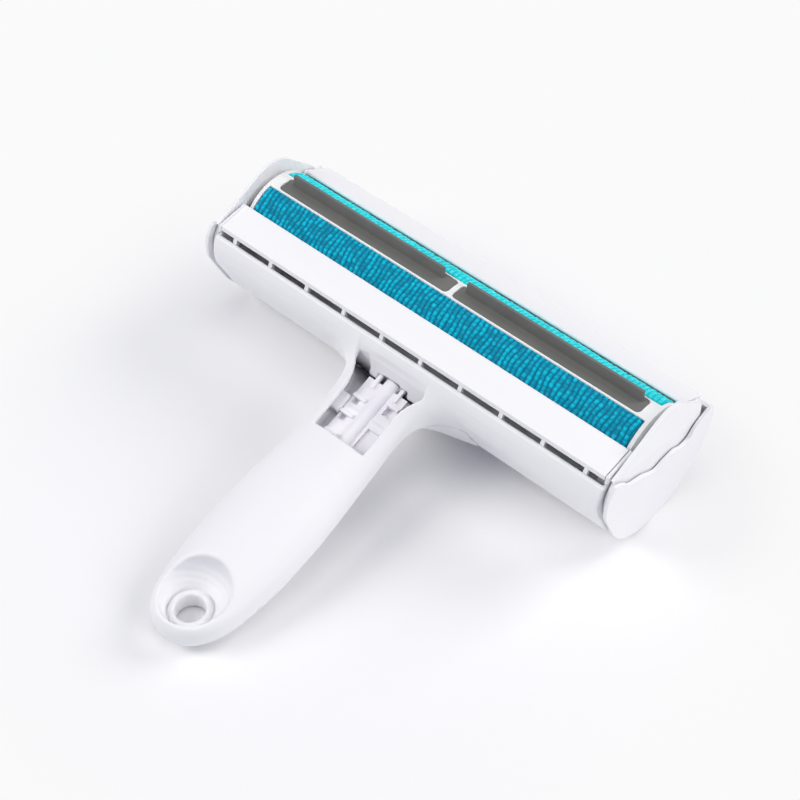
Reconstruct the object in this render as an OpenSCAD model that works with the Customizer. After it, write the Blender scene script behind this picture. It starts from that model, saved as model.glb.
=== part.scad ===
// Pet hair removal brush: a rocking drum with two pile strips and two rubber blades,
// in a hollow head with a hinged hair bin below it and a hollow handle with a release lever.
// The brush lies on its back, working side up, on the belly of the bin and the end of the handle.
// Millimetres, X along the head, the handle towards -Y, Z up, the table at z = 0.

/* [Head] */
// Length of the two lips between the end flanges
lip_l = 181.3; // [150:0.1:230]
// Distance between the two long gap lines, across the head
panel_w = 62.5; // [58:0.5:70]
// Tilt of the working face when the brush lies down, far edge lower
tilt = 11; // [6:0.5:16]
// Radius of the round shoulders of the head
shoulder_r = 16.5; // [14:0.5:19]
// Depth of the shoulders' centres below the gap lines
shoulder_drop = 9; // [6:0.5:12]
// Radius of the bin's belly
belly_r = 30.5; // [28:0.5:33]
// Offset of the belly's centre towards the hinge side
belly_y = 3.5; // [0:0.5:5]
// Depth of the belly's centre below the gap lines
belly_drop = 13.5; // [10:0.5:16]
// Wall of the head and the handle shells
wall = 2; // [1.6:0.1:2.6]
// Height of the long gap between the lips and the walls
gap_h = 1.5; // [1:0.1:2.5]
// Angle on the belly's circle at which the front wall ends and the bin starts
seam_a = 230; // [225:1:236]

/* [Lips and ends] */
// Half width of the drum window between the lips
window_half = 17; // [15:0.5:18]
// Rise of a lip from its outer to its inner edge
lip_rise = 4.2; // [3:0.2:6]
// Thickness of a lip
lip_t = 1.6; // [1.2:0.1:2.4]
// Number of clips along the near gap
clip_n = 10; // [6:1:14]
// Distance of the outer clips from the ends of the lips
clip_end = 7.4; // [4:0.2:12]
// Width of a clip
clip_w = 1.6; // [1:0.1:3]
// Height of the near gap below the lip's skirt
near_gap_h = 2.1; // [1.2:0.1:3]
// Height of the skirt along the near lip
skirt_h = 2; // [1.2:0.1:2.6]
// Thickness of an end flange
flange_t = 1.3; // [1:0.1:2]
// Thickness of an end cover
cover_t = 1.3; // [1:0.1:2]
// Air gap between an end flange and its cover
cover_gap = 0.8; // [0.5:0.1:1.5]
// Radius of the dome on an end cover
dome_r = 15.4; // [13:0.2:18]

/* [Drum] */
// Outer radius of the drum
drum_r = 18.6; // [17.6:0.1:19]
// Depth of the drum's axis below the gap lines
drum_drop = 7.6; // [6.6:0.1:9]
// Thickness of the drum's shell
drum_t = 2; // [1.6:0.1:2.6]
// Angle to each side of the crest that the drum's shell covers
drum_a = 72; // [66:1:76]
// Rocking angle to each side
rock_a = 20; // [10:1:24]
// Turn of the drum at rest towards the near lip, out of its middle position
drum_turn = 5.5; // [0:0.5:8]
// Angle from the crest at which a pile strip starts
pile_a0 = 15.5; // [15:0.5:24]
// Angle from the crest at which a pile strip ends
pile_a1 = 62; // [50:1:64]
// Thickness of a pile strip
pile_t = 1; // [0.6:0.1:1.2]
// Distance of a pile strip's end from the end of the lips
pile_end = 2.05; // [1.95:0.05:8]
// Inner end of a blade slot, from the middle of the drum
slot_x0 = 1.05; // [1.05:0.05:4]
// Distance of a blade slot's outer end from the end of the lips
slot_end = 5.35; // [4.5:0.05:10]
// Half width of a blade slot
slot_half = 4.1; // [3.8:0.1:4.2]
// Radius of a blade slot's corners
slot_corner = 1.9; // [1:0.1:2.1]
// Height of a blade's fin above the crest of the drum
fin_h = 4; // [1.5:0.1:4.2]
// Thickness of a blade's fin
fin_t = 1.3; // [1:0.1:1.6]
// Distance of a fin's ends from the ends of its slot
fin_inset = 2.9; // [2:0.1:6]
// How much earlier the left fin stops before the middle of the drum
fin_trim = 3.6; // [0:0.1:8]
// Offset of the fins from the middle of their slots towards the far strip
fin_y = 2.3; // [0:0.1:2.4]
// Radius of the drum's pivot studs
stud_r = 3; // [2:0.1:4]

/* [Bin lid] */
// Thickness of the bin's shell
lid_t = 1.8; // [1.4:0.1:2.4]
// Thickness of the bin's end walls
lid_end_t = 1.3; // [1:0.1:2]
// Air gap between an end cover and the bin's end wall
lid_gap = 0.6; // [0.4:0.1:1.2]
// Distance of a hinge knuckle's middle from the end of the lips
hinge_end = 4.85; // [4.8:0.05:12]
// Width of a hinge knuckle
knuckle_w = 4.6; // [3:0.1:6]
// Radius of a hinge knuckle
knuckle_r = 2.1; // [1.8:0.1:2.4]
// Radius of a hinge pin
hinge_pin_r = 0.9; // [0.6:0.05:1.1]
// Width of the latch tongue
tongue_w = 13; // [8:0.5:16]
// Length of the latch tongue past the seam
tongue_l = 8.5; // [6:0.5:10]

/* [Handle] */
// Length of the handle, from the middle of the head to its end
handle_l = 155.5; // [140:0.5:180]
// Half width of the handle's grip
grip_half = 19.8; // [17:0.2:24]
// Half thickness of the handle's grip
grip_thick = 9.2; // [8.4:0.1:11]
// Half width of the neck
neck_half = 17; // [15:0.2:19]
// Half thickness of the neck
neck_thick = 7.6; // [7:0.1:9]
// Distance of the hanging hole from the handle's end
hole_end = 13.6; // [12:0.2:16]
// Radius of the hanging hole
hole_r = 5.6; // [4:0.1:6]
// Half width of the hanging dish at its rim
dish_r = 12.6; // [11:0.2:13.4]
// Half width of the neck's window
neck_window_half = 11.5; // [10.5:0.1:12.5]
// Distance of the window's lower edge from the middle of the head
neck_window_end = 65; // [62:0.5:68]

/* [Release lever] */
// Distance of the lever's pin from the middle of the head
pin_y = 50; // [48:0.5:52]
// Radius of the lever's pin
lever_pin_r = 1; // [0.8:0.05:1.4]
// Half width of the lever
lever_half = 9.2; // [8:0.1:9.6]
// Turn of the lever when it is pressed
lever_a = 6; // [3:0.5:7]
// Radius of the lever's round spine
spine_r = 3.2; // [2.4:0.1:3.8]

/* [Hidden] */
$fn = 48;

// Clearances
seat = 0.05;
run = 0.05;
part_gap = 0.15;
free_gap = 0.3;

// Stations along X
lip_x = lip_l / 2;
flange_x0 = lip_x + 0.25;
flange_x1 = flange_x0 + flange_t;
cover_x0 = flange_x1 + cover_gap;
cover_x1 = cover_x0 + cover_t;
lid_x0 = cover_x1 + lid_gap;
lid_x1 = lid_x0 + lid_end_t;
drum_end = lip_x - 0.35;
cap_t = 1.5;
drum_x = drum_end - cap_t;
pile_l = lip_l - 2 * pile_end;
slot_x1 = lip_x - slot_end;
hinge_x = lip_x - hinge_end;
far_clip_x = 0.6 * lip_x;
clip_pitch = (lip_l - 2 * clip_end) / (clip_n - 1);

// Heights in the head's own frame
wall_top = -gap_h + 0.5;
shoulder_y = panel_w / 2 + 1.8 - shoulder_r;
drum_axis = -drum_drop;
crest = drum_axis + drum_r;
lip_out = panel_w / 2 - 0.85;
lip_edge_z = 0.5;
lip_edge_t = 0.8;
front_top = lip_edge_z - skirt_h - near_gap_h;
front_inner = shoulder_y + sqrt(pow(shoulder_r - wall, 2) - pow(front_top + shoulder_drop, 2));
lip_slope = (lip_rise - 0.2 - lip_t + lip_edge_t) / (lip_out - window_half - lip_t / 2 - 0.6);
function lip_under(y) = lip_edge_z - lip_edge_t + (lip_out - 0.6 - y) * lip_slope;
hinge_y = lip_out;
hinge_z = wall_top - 1.2;
lid_top = hinge_z - 0.7;
boss_y = panel_w / 2 - 7.75;
boss_z = -9;
cover_boss_r = 2.7;
cover_screw_r = 1.2;

// Place of the head's frame over the table
head_z = belly_r + sin(tilt) * belly_y + cos(tilt) * belly_drop;
far_y = belly_r + cos(tilt) * belly_y - sin(tilt) * belly_drop;
head_y = (handle_l - far_y) / 2;

// Handle stations: distance from the head, height of the centre, half width, half thickness.
// The last ones carry the weight on the table, through a small flat under the end.
tip_thick = grip_thick - 0.5;
foot_sink = 0.25;
stations = [
    [26, 25.8, 29, 15.6],
    [33, 28.0, 22.6, 12.6],
    [40, 30.0, 18.8, 10.0],
    [50, 27.9, neck_half, neck_thick],
    [65, 23.2, neck_half + 0.3, neck_thick - 0.2],
    [83, 19.2, grip_half - 1, grip_thick - 1],
    [handle_l - 57, 16.2, grip_half, grip_thick - 0.3],
    [handle_l - 39, 12.4, grip_half - 0.2, grip_thick],
    [handle_l - 24, 9.5, grip_half - 1.8, grip_thick - 0.2],
    [handle_l - 14, tip_thick - foot_sink, grip_half - 4, tip_thick],
    [handle_l - 7, tip_thick - foot_sink, grip_half - 7.4, tip_thick - 0.7],
    [handle_l - 2.6, tip_thick - foot_sink, grip_half - 11.6, tip_thick - 2.4],
    [handle_l, tip_thick - foot_sink, grip_half - 17, tip_thick - 5.4]];
cavity_end = handle_l - 33;
hole_y = handle_l - hole_end;
ring_top = tip_thick - 0.3;
ring_w = 2.2;
screw_stations = [79, handle_l - 44];

// Parting line between the two handle shells: distance from the head and height
parting = [[-60, 31.5], [49, 26], [handle_l - 28.5, tip_thick + 0.4]];
function part_height(s) = lookup(s, parting);

// The neck's own frame has its origin on the lever's pin and its Y up the slope to the head
neck_slope = 17;
pin_z = 26.2;

// A closed skin through rings of points, each ring clockwise as seen from before the first
module loft(rings) {
    n = len(rings[0]);
    m = len(rings);
    sides = [for (i = [0 : m - 2], j = [0 : n - 1]) let (k = (j + 1) % n)
        each [[i * n + k, i * n + j, (i + 1) * n + k], [(i + 1) * n + k, i * n + j, (i + 1) * n + j]]];
    first = [for (j = [0 : n - 1]) j];
    last = [for (j = [n - 1 : -1 : 0]) (m - 1) * n + j];
    polyhedron(points = [for (r = rings) each r], faces = concat([first, last], sides), convexity = 6);
}

// Catmull-Rom value between p1 and p2
function spline(p0, p1, p2, p3, t) =
    0.5 * (2 * p1 + (p2 - p0) * t + (2 * p0 - 5 * p1 + 4 * p2 - p3) * t * t
        + (3 * p1 - p0 - 3 * p2 + p3) * t * t * t);
function station(i) = stations[max(0, min(len(stations) - 1, i))];
function between(i, t) = spline(station(i - 1), station(i), station(i + 1), station(i + 2), t);

// One handle section, a rounded oval in a plane across the handle, inset from the skin
section_power = 2.4;
section_sides = 28;
function oval(s, inset) = [for (j = [0 : section_sides - 1]) let (a = 360 * j / section_sides)
    [(s[2] - inset) * sign(cos(a)) * pow(abs(cos(a)), 2 / section_power), -s[0],
        s[1] + (s[3] - inset) * sign(sin(a)) * pow(abs(sin(a)), 2 / section_power)]];

// Point on a circle
function on_circle(c, r, a) = [c[0] + r * cos(a), c[1] + r * sin(a)];

// Extrudes a profile drawn in Y and Z along X
module along_x(x0, x1) {
    translate([x0, 0, 0]) rotate([90, 0, 90]) linear_extrude(x1 - x0) children();
}

// The same profile at both ends of the head
module both_ends(x0, x1) {
    along_x(x0, x1) children();
    along_x(-x1, -x0) children();
}

// Frames
module head_frame() {
    translate([0, head_y, head_z]) rotate([-tilt, 0, 0]) children();
}

// Frame of the drum's own parts, turned about its axis
module drum_frame() {
    head_frame() translate([0, 0, drum_axis]) rotate([drum_turn, 0, 0]) translate([0, 0, -drum_axis])
        children();
}

module handle_frame() {
    translate([0, head_y, 0]) children();
}

module neck_frame() {
    handle_frame() translate([0, -pin_y, pin_z]) rotate([neck_slope, 0, 0]) children();
}

// Two circles and the band between their common tangents
module joined_circles(c1, r1, c2, r2) {
    d = norm(c2 - c1);
    base = atan2(c2[1] - c1[1], c2[0] - c1[0]);
    translate(c1) circle(r1, $fn = 72);
    translate(c2) circle(r2, $fn = 96);
    if (d > abs(r1 - r2)) {
        g = acos((r1 - r2) / d);
        polygon([on_circle(c1, r1, base + g), on_circle(c2, r2, base + g),
            on_circle(c2, r2, base - g), on_circle(c1, r1, base - g)]);
    }
}

// Outline of the head across its length, below the gap lines, inset from the skin
module head_section(inset) {
    belly = [belly_y, -belly_drop];
    joined_circles([-shoulder_y, -shoulder_drop], shoulder_r - inset, belly, belly_r - inset);
    joined_circles([shoulder_y, -shoulder_drop], shoulder_r - inset, belly, belly_r - inset);
    translate([-shoulder_y, -shoulder_drop]) square([2 * shoulder_y, shoulder_r - inset]);
}

// Everything on the handle's side of the seam and under the near gap
module front_region() {
    seam = on_circle([belly_y, -belly_drop], belly_r, seam_a);
    inner = on_circle([belly_y, -belly_drop], belly_r - 4 * wall, seam_a);
    polygon([inner, seam + 2 * (seam - inner), [-panel_w, seam[1] - 40], [-panel_w, front_top],
        [-shoulder_y, front_top], [-shoulder_y, inner[1] + 8]]);
}

// The front wall, a curved shell from the near gap down to the bin's edge
module front_wall() {
    along_x(-flange_x1, flange_x1) intersection() {
        difference() {
            head_section(0);
            head_section(wall);
        }
        front_region();
    }
}

// End flange that carries the drum: it follows the lips' slope and stays clear of the bin
module flange_profile() {
    difference() {
        union() {
            intersection() {
                head_section(lid_t + 0.8);
                polygon([[-panel_w, wall_top], [-panel_w, -40], [-20, -40], [26, -16], [panel_w, -6],
                    [panel_w, wall_top]]);
            }
            intersection() {
                head_section(wall / 2);
                front_region();
            }
            polygon([[-lip_out, wall_top - 2], [-lip_out, lip_edge_z],
                [-window_half, lip_edge_z + lip_rise - 0.1], [-window_half + 1.4, lip_edge_z],
                [window_half - 1.4, lip_edge_z],
                [window_half, lip_edge_z + lip_rise - 0.1], [lip_out - 3, lip_edge_z + 0.7],
                [lip_out - 3, wall_top - 2]]);
        }
        translate([0, drum_axis]) circle(stud_r + run);
        for (s = [-1, 1]) translate([s * boss_y, boss_z]) circle(cover_screw_r + run);
    }
}

// Bosses and rests on a flange: tapped bosses for the cover's screws, rests under the lips,
// and two posts that stop the drum's tail
module flange_fittings() {
    rest_y = [hinge_y - 10.4, hinge_y - 5.4];
    for (s = [-1, 1]) {
        both_ends(flange_x0 - 5, flange_x0 + 0.2) difference() {
            translate([s * boss_y, boss_z]) circle(cover_boss_r);
            translate([s * boss_y, boss_z]) circle(cover_screw_r + run);
        }
        both_ends(flange_x1 - 0.2, cover_x0 - seat) difference() {
            translate([s * boss_y, boss_z]) circle(cover_boss_r);
            translate([s * boss_y, boss_z]) circle(cover_screw_r + run);
        }
        both_ends(lip_x - 2.2, flange_x0 + 0.2)
            polygon([[s * rest_y[1], lip_under(rest_y[1]) - 3.4],
                [s * rest_y[1], lip_under(rest_y[1]) - seat], [s * rest_y[0], lip_under(rest_y[0]) - seat],
                [s * rest_y[0], lip_under(rest_y[0]) - 3]]);
        both_ends(drum_end - 2, flange_x0 + 0.2) translate([0, drum_axis])
            translate(on_circle([0, 0], stop_r, 270 + s * stop_a)) circle(stop_post_r);
    }
}
tail_half = 1.5;
stop_r = 9.5;
stop_post_r = 1.5;
stop_a = rock_a + asin(tail_half / stop_r) + asin((stop_post_r + free_gap) / stop_r);

// Outer skin of the handle, cut flat where it stands on the table
module handle_skin(inset, last) {
    rings = [for (i = [0 : len(stations) - 2], t = [0, 0.5])
        if (between(i, t)[0] < last) oval(between(i, t), inset)];
    handle_frame() loft(last < handle_l ? rings : concat(rings, [oval(stations[len(stations) - 1], inset)]));
}

module handle_solid() {
    difference() {
        handle_skin(0, handle_l);
        head_frame() along_x(-60, 60) head_section(wall / 2);
        translate([-100, -300, -20]) cube([200, 600, 20]);
    }
}

// Hollow of the handle, outside the front wall
module handle_cavity() {
    difference() {
        handle_skin(wall, cavity_end);
        head_frame() along_x(-60, 60) head_section(-seat);
    }
}

// Side outline of everything above the parting line between the two handle shells
module upper_region(drop) {
    line = [for (p = parting) [-p[0], p[1] - drop]];
    end_y = line[len(line) - 1][0];
    handle_frame() along_x(-60, 60)
        polygon(concat([[line[0][0], 90]], line,
            [[end_y, -20], [-handle_l - 20, -20], [-handle_l - 20, 90]]));
}

// Screw bosses in the handle, at the parting line
module handle_bosses(r) {
    for (s = screw_stations) handle_frame() translate([0, -s, 0]) cylinder(r = r, h = 60);
}

// Upper shell of the handle in one piece with the front wall and the end flanges
module handle_body() color("white") {
    head_frame() {
        front_wall();
        both_ends(flange_x0, flange_x1) flange_profile();
        flange_fittings();
    }
    difference() {
        intersection() {
            handle_solid();
            upper_region(0);
        }
        difference() {
            handle_cavity();
            handle_bosses(3.2);
            pin_bosses();
            spring_seat();
        }
        neck_window();
        hanging_dish();
        handle_frame() translate([0, -hole_y, -1]) cylinder(r = hole_r, h = 40);
        handle_bores();
        neck_frame() along_x(-40, 40) circle(lever_pin_r + run);
    }
}

// Window over the release lever
module neck_window() {
    lower_end = (pin_y - neck_window_end) * cos(neck_slope) + 1.3;
    neck_frame() translate([-neck_window_half, lower_end, window_floor])
        cube([2 * neck_window_half, 30 - lower_end, 40]);
}

// Two bosses on the neck's side walls that hold the lever's pin
window_floor = 3.6;
module pin_bosses() {
    for (s = [0, 1]) mirror([s, 0, 0]) neck_frame() translate([lever_half + free_gap, -4, -3.2])
        cube([neck_half, 8, window_floor + 3.2 - seat]);
}

// Flat seat for the top of the lever's spring
module spring_seat() {
    handle_frame() translate([0, -spring_y, spring_top]) cylinder(r = 3.2, h = 20);
}

// Scooped dish round the hanging hole, with a raised ring at the hole
module hanging_dish() {
    floor_z = ring_top - 1.8;
    rim_z = 2 * tip_thick;
    handle_frame() difference() {
        union() {
            translate([0, -hole_y + 2.9, rim_z])
                scale([dish_r + 0.5, dish_r + 0.6, rim_z - floor_z]) sphere(1, $fn = 96);
            translate([0, -hole_y, floor_z])
                cylinder(r1 = hole_r + ring_w + 0.7, r2 = hole_r + ring_w + 3.3, h = 10);
        }
        translate([0, -hole_y, 0]) cylinder(r = hole_r + ring_w, h = ring_top);
    }
}

// Pilot holes for the handle's screws
screw_r = 1.4;
screw_l = 11;
module handle_bores() {
    for (s = screw_stations) handle_frame()
        translate([0, -s, part_height(s) - 3]) cylinder(r = screw_r + run, h = screw_l - 2);
}

// Lower shell of the handle, with the opening for the push pad and a notch for the bin's tongue
module handle_back() color("white") {
    difference() {
        handle_solid();
        upper_region(part_gap);
        difference() {
            handle_cavity();
            handle_bosses(4.4);
        }
        head_frame() along_x(-60, 60) head_section(-part_gap);
        neck_frame() translate([-pad_half_x - 0.4, pad_mid - pad_len / 2 - pad_swing, -12])
            cube([2 * pad_half_x + 0.8, pad_len + pad_swing + 0.4, 18]);
        head_frame() along_x(-tongue_w / 2 - free_gap, tongue_w / 2 + free_gap) tongue_sweep();
        for (s = screw_stations) handle_frame() translate([0, -s, -1]) {
            cylinder(r = screw_r + 2 * run, h = 40);
            cylinder(r = screw_r * 2 + 0.2, h = part_height(s) - 3.4);
        }
    }
}

// Pan-head screws that hold the lower shell
module handle_screws() color("silver") {
    for (s = screw_stations) handle_frame() translate([0, -s, part_height(s) - 6.2 - seat]) {
        cylinder(r = screw_r, h = screw_l);
        cylinder(r = screw_r * 2, h = 1.8);
    }
}

// A lip from the gap line up to the drum window, with a rounded inner edge
module lip_profile() {
    edge_r = lip_t / 2;
    in_y = window_half + edge_r;
    top = lip_edge_z + lip_rise - 0.2;
    polygon([[lip_out, lip_edge_z], [in_y, top], [in_y, top - lip_t],
        [lip_out - 0.6, lip_edge_z - lip_edge_t]]);
    translate([in_y, top - edge_r]) circle(edge_r, $fn = 32);
}

// Skirt that hangs from the near lip's outer edge
module skirt_profile() {
    polygon([[lip_out, lip_edge_z], [lip_out - 2, lip_edge_z + 0.2], [lip_out - 1.5, lip_edge_z - skirt_h],
        [lip_out - 0.2, lip_edge_z - skirt_h]]);
}

// A clip from the lip across the gap and down behind the wall
module clip_profile() {
    foot = front_top - 4;
    leg = front_inner - seat;
    polygon([[leg - 1.2, lip_edge_z - 0.9], [lip_out - 0.4, lip_edge_z - 0.9],
        [lip_out + 0.3, front_top + 0.9], [lip_out + 0.3, front_top + seat], [leg, front_top + seat],
        [leg, foot], [leg - 1.2, foot]]);
}

module lip_near() color("white") {
    head_frame() {
        along_x(-lip_x, lip_x) mirror([1, 0]) {
            lip_profile();
            skirt_profile();
        }
        for (k = [0 : clip_n - 1]) {
            x = (k - (clip_n - 1) / 2) * clip_pitch;
            along_x(x - clip_w / 2, x + clip_w / 2) mirror([1, 0]) clip_profile();
        }
    }
}

// Far lip, with the hinge's ears under it and two small clips in the far gap
module lip_far() color("white") {
    head_frame() difference() {
        union() {
            along_x(-lip_x, lip_x) lip_profile();
            for (s = [-1, 1]) {
                along_x(s * far_clip_x - clip_w / 2, s * far_clip_x + clip_w / 2)
                    polygon([[hinge_y - 2, 0.2], [hinge_y + 0.7, 0.4], [hinge_y + 0.7, -0.1],
                        [hinge_y - 2, -0.8]]);
                for (e = [-1, 1]) ear(s * hinge_x + e * ear_x);
            }
        }
        for (s = [-1, 1]) {
            along_x(s * hinge_x - knuckle_w / 2 - free_gap, s * hinge_x + knuckle_w / 2 + free_gap)
                translate([hinge_y, hinge_z]) circle(knuckle_r + 0.5);
            along_x(s * hinge_x - 8, s * hinge_x + 8) translate([hinge_y, hinge_z]) circle(hinge_pin_r + run);
        }
    }
}

ear_t = 1.3;
ear_r = knuckle_r - 0.5;
ear_x = knuckle_w / 2 + ear_t / 2 + free_gap;
module ear(x) {
    along_x(x - ear_t / 2, x + ear_t / 2) {
        translate([hinge_y, hinge_z]) circle(ear_r);
        polygon([[hinge_y - 4, 0.9], [hinge_y - 0.4, 0.2], [hinge_y + 0.6, hinge_z + 1.2],
            [hinge_y - 1, hinge_z - 1.2], [hinge_y - 4, hinge_z + 0.8]]);
    }
}

module hinge_pin(s) color("silver") {
    reach = knuckle_w / 2 + ear_t + free_gap + 0.4;
    head_frame() along_x(s * hinge_x - reach, s * hinge_x + reach) translate([hinge_y, hinge_z])
        circle(hinge_pin_r);
}

module hinge_pin_left() { hinge_pin(-1); }
module hinge_pin_right() { hinge_pin(1); }

// Outline of an end cover: a dome over the drum's end, shoulders down to the lips' corners
module cover_profile() {
    near_y = panel_w / 2 - 1.3;
    far_tip = panel_w / 2 - 6.75;
    g1 = acos(dome_r / norm([near_y, 0.3]));
    g2 = acos(dome_r / norm([far_tip, 2.2]));
    a1 = 180 + atan2(0.3, near_y) - g1;
    a2 = atan2(2.2, far_tip) + g2;
    difference() {
        union() {
            intersection() {
                circle(dome_r, $fn = 96);
                translate([-dome_r, -2]) square([2 * dome_r, 2 * dome_r]);
            }
            polygon([[-near_y, -0.3], on_circle([0, 0], dome_r, a1), on_circle([0, 0], dome_r, a2),
                [far_tip, 2.2], [far_tip + 1.5, -3], [far_tip + 3, -9]]);
            intersection() {
                head_section(lid_t + 0.8);
                polygon([[-near_y, -0.3], [far_tip, 1], [far_tip + 1.5, -3], [far_tip + 3, -9],
                    [far_tip + 1, -14], [8, -20], [-16, -26], [-panel_w, -14], [-panel_w, -0.3]]);
            }
        }
        for (s = [-1, 1]) translate([s * boss_y, boss_z]) circle(cover_screw_r + run);
    }
}

module end_cover() {
    difference() {
        along_x(cover_x0, cover_x1) cover_profile();
        for (s = [-1, 1]) along_x(cover_x1 - 0.7, cover_x1 + 1) translate([s * boss_y, boss_z])
            circle(cover_screw_r + 1.05);
    }
}

module end_cover_left() color("white") { head_frame() mirror([1, 0, 0]) end_cover(); }
module end_cover_right() color("white") { head_frame() end_cover(); }

module cover_screw(y) {
    along_x(cover_x1 - 0.7 + seat, cover_x1) translate([y, boss_z]) circle(cover_screw_r + 1);
    along_x(flange_x0 - 4.5, cover_x1 - 0.1) translate([y, boss_z]) circle(cover_screw_r);
}

module cover_screws() color("silver") {
    head_frame() for (s = [-1, 1]) {
        cover_screw(s * boss_y);
        mirror([1, 0, 0]) cover_screw(s * boss_y);
    }
}

// Wedge from the drum's axis, between two angles from the crest
module wedge(a0, a1) {
    reach = 40;
    polygon([[0, 0], for (t = [0 : 4]) let (a = 90 - a0 - (a1 - a0) * t / 4)
        [reach * cos(a), reach * sin(a)]]);
}

// Plan of a blade's slot, with rounded corners
module slot_plan(x0, x1, half, corner = slot_corner) {
    for (x = [x0 + corner, x1 - corner], y = [corner - half, half - corner])
        translate([x, y]) circle(corner, $fn = 48);
    translate([x0, corner - half]) square([x1 - x0, 2 * (half - corner)]);
    translate([x0 + corner, -half]) square([x1 - x0 - 2 * corner, 2 * half]);
}

// Drum shell: an arc with a recess for each pile strip and a slot for each blade
post_x = lip_x - 12.65;
post_y = 10.5;
drum_screw_r = 1.2;
back_z = drum_axis + 3.6;
back_t = 1.8;
rib_y = 6;
module drum_shell() color("white") {
    drum_frame() difference() {
        union() {
            along_x(-drum_x, drum_x) translate([0, drum_axis]) intersection() {
                difference() {
                    circle(drum_r, $fn = 96);
                    circle(drum_r - drum_t, $fn = 96);
                    for (s = [-1, 1]) intersection() {
                        difference() {
                            circle(drum_r + 1, $fn = 96);
                            circle(drum_r - 0.4, $fn = 96);
                        }
                        wedge(s * (pile_a0 - 0.5), s * (pile_a1 + 1));
                    }
                }
                wedge(-drum_a, drum_a);
            }
            intersection() {
                for (sx = [-1, 1], sy = [-1, 1]) translate([sx * post_x, sy * post_y, back_z + back_t])
                    cylinder(r = 2.6, h = 20);
                along_x(-drum_x, drum_x) translate([0, drum_axis]) circle(drum_r - drum_t / 2, $fn = 96);
            }
        }
        for (s = [0, 1]) mirror([s, 0, 0]) translate([0, 0, crest - 6])
            linear_extrude(10) slot_plan(slot_x0, slot_x1, slot_half);
        for (sx = [-1, 1], sy = [-1, 1]) translate([sx * post_x, sy * post_y, back_z])
            cylinder(r = drum_screw_r + run, h = 7);
    }
}

// Plate that closes the drum from below, with ribs up to the blades' clamp
back_half = (drum_r - drum_t) * sin(drum_a) - 0.6;
module drum_back() color("white") {
    drum_frame() difference() {
        union() {
            along_x(-drum_x + seat, drum_x - seat) translate([-back_half, back_z])
                square([2 * back_half, back_t]);
            for (k = [-2 : 2], x = k * lip_x / 3) along_x(x - 0.8, x + 0.8)
                translate([-4, back_z + 0.5]) square([8, clamp_z - seat - back_z - 0.5]);
            for (s = [-1, 1]) along_x(-drum_x + 6, drum_x - 6)
                translate([s * rib_y - 0.7, back_z - 1.6]) square([1.4, 2]);
        }
        for (sx = [-1, 1], sy = [-1, 1]) translate([sx * post_x, sy * post_y, back_z - 4])
            cylinder(r = drum_screw_r + 2 * run, h = 12);
    }
}

module drum_screws() color("silver") {
    drum_frame() for (sx = [-1, 1], sy = [-1, 1]) translate([sx * post_x, sy * post_y, 0]) {
        translate([0, 0, back_z - 1.2 - seat]) cylinder(r = 2.2, h = 1.2);
        translate([0, 0, back_z - 1]) cylinder(r = drum_screw_r, h = 7.4);
    }
}

// End cap of the drum: a segment, a hub with the pivot stud and a tail between the stops
module cap_profile() {
    hub_r = stud_r + 3.2;
    intersection() {
        circle(drum_r, $fn = 96);
        translate([-drum_r, drum_r * cos(drum_a)]) square([2 * drum_r, drum_r]);
    }
    circle(hub_r);
    polygon([[-drum_r * sin(drum_a), drum_r * cos(drum_a) + 0.2],
        [drum_r * sin(drum_a), drum_r * cos(drum_a) + 0.2], [hub_r * cos(20), -hub_r * sin(20)],
        [-hub_r * cos(20), -hub_r * sin(20)]]);
    translate([-tail_half, -stop_r - 2]) square([2 * tail_half, stop_r]);
}

module drum_cap() {
    along_x(drum_x, drum_end) translate([0, drum_axis]) cap_profile();
    along_x(drum_end - 1, flange_x1 - 0.1) translate([0, drum_axis]) circle(stud_r);
}

module drum_cap_left() color("white") { drum_frame() mirror([1, 0, 0]) drum_cap(); }
module drum_cap_right() color("white") { drum_frame() drum_cap(); }

// Pile strip: a curved band in its recess
module pile_strip(s) {
    drum_frame() along_x(-pile_l / 2, pile_l / 2) translate([0, drum_axis]) intersection() {
        difference() {
            circle(drum_r - 0.4 + pile_t, $fn = 96);
            circle(drum_r - 0.4 + seat, $fn = 96);
        }
        wedge(s * pile_a0, s * pile_a1);
    }
}

module pile_strip_near() color("darkcyan") { pile_strip(-1); }
module pile_strip_far() color("turquoise") { pile_strip(1); }

// Rubber blade: a flange under the shell, a base that fills the slot and a fin with sharp ends
flange_top = crest - drum_t - 1.5;
blade_flange_t = 1.4;
clamp_z = flange_top - blade_flange_t - 1.6;
module blade(s) {
    from = s < 0 ? -slot_x1 + fin_inset : slot_x0 + fin_inset;
    to = s < 0 ? -slot_x0 - fin_inset - fin_trim : slot_x1 - fin_inset;
    drum_frame() {
        mirror([s < 0 ? 1 : 0, 0, 0]) {
            translate([0, 0, flange_top - blade_flange_t]) linear_extrude(blade_flange_t)
                slot_plan(slot_x0 - 0.8, slot_x1 + 1.2, slot_half + 0.9);
            translate([0, 0, flange_top - 0.1]) linear_extrude(crest - 0.6 - flange_top + 0.1)
                slot_plan(slot_x0 + 0.2, slot_x1 - 0.2, slot_half - 0.2, slot_corner - 0.2);
        }
        along_x(from, to) translate([fin_y, 0])
            polygon([[-fin_t / 2 - 0.6, crest - 1], [-fin_t / 2, crest + fin_h - 0.3],
                [-fin_t / 2 + 0.2, crest + fin_h], [fin_t / 2 - 0.2, crest + fin_h],
                [fin_t / 2, crest + fin_h - 0.3], [fin_t / 2 + 0.6, crest - 1]]);
    }
}

module blade_left() color("dimgray") { blade(-1); }
module blade_right() color("dimgray") { blade(1); }

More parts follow.
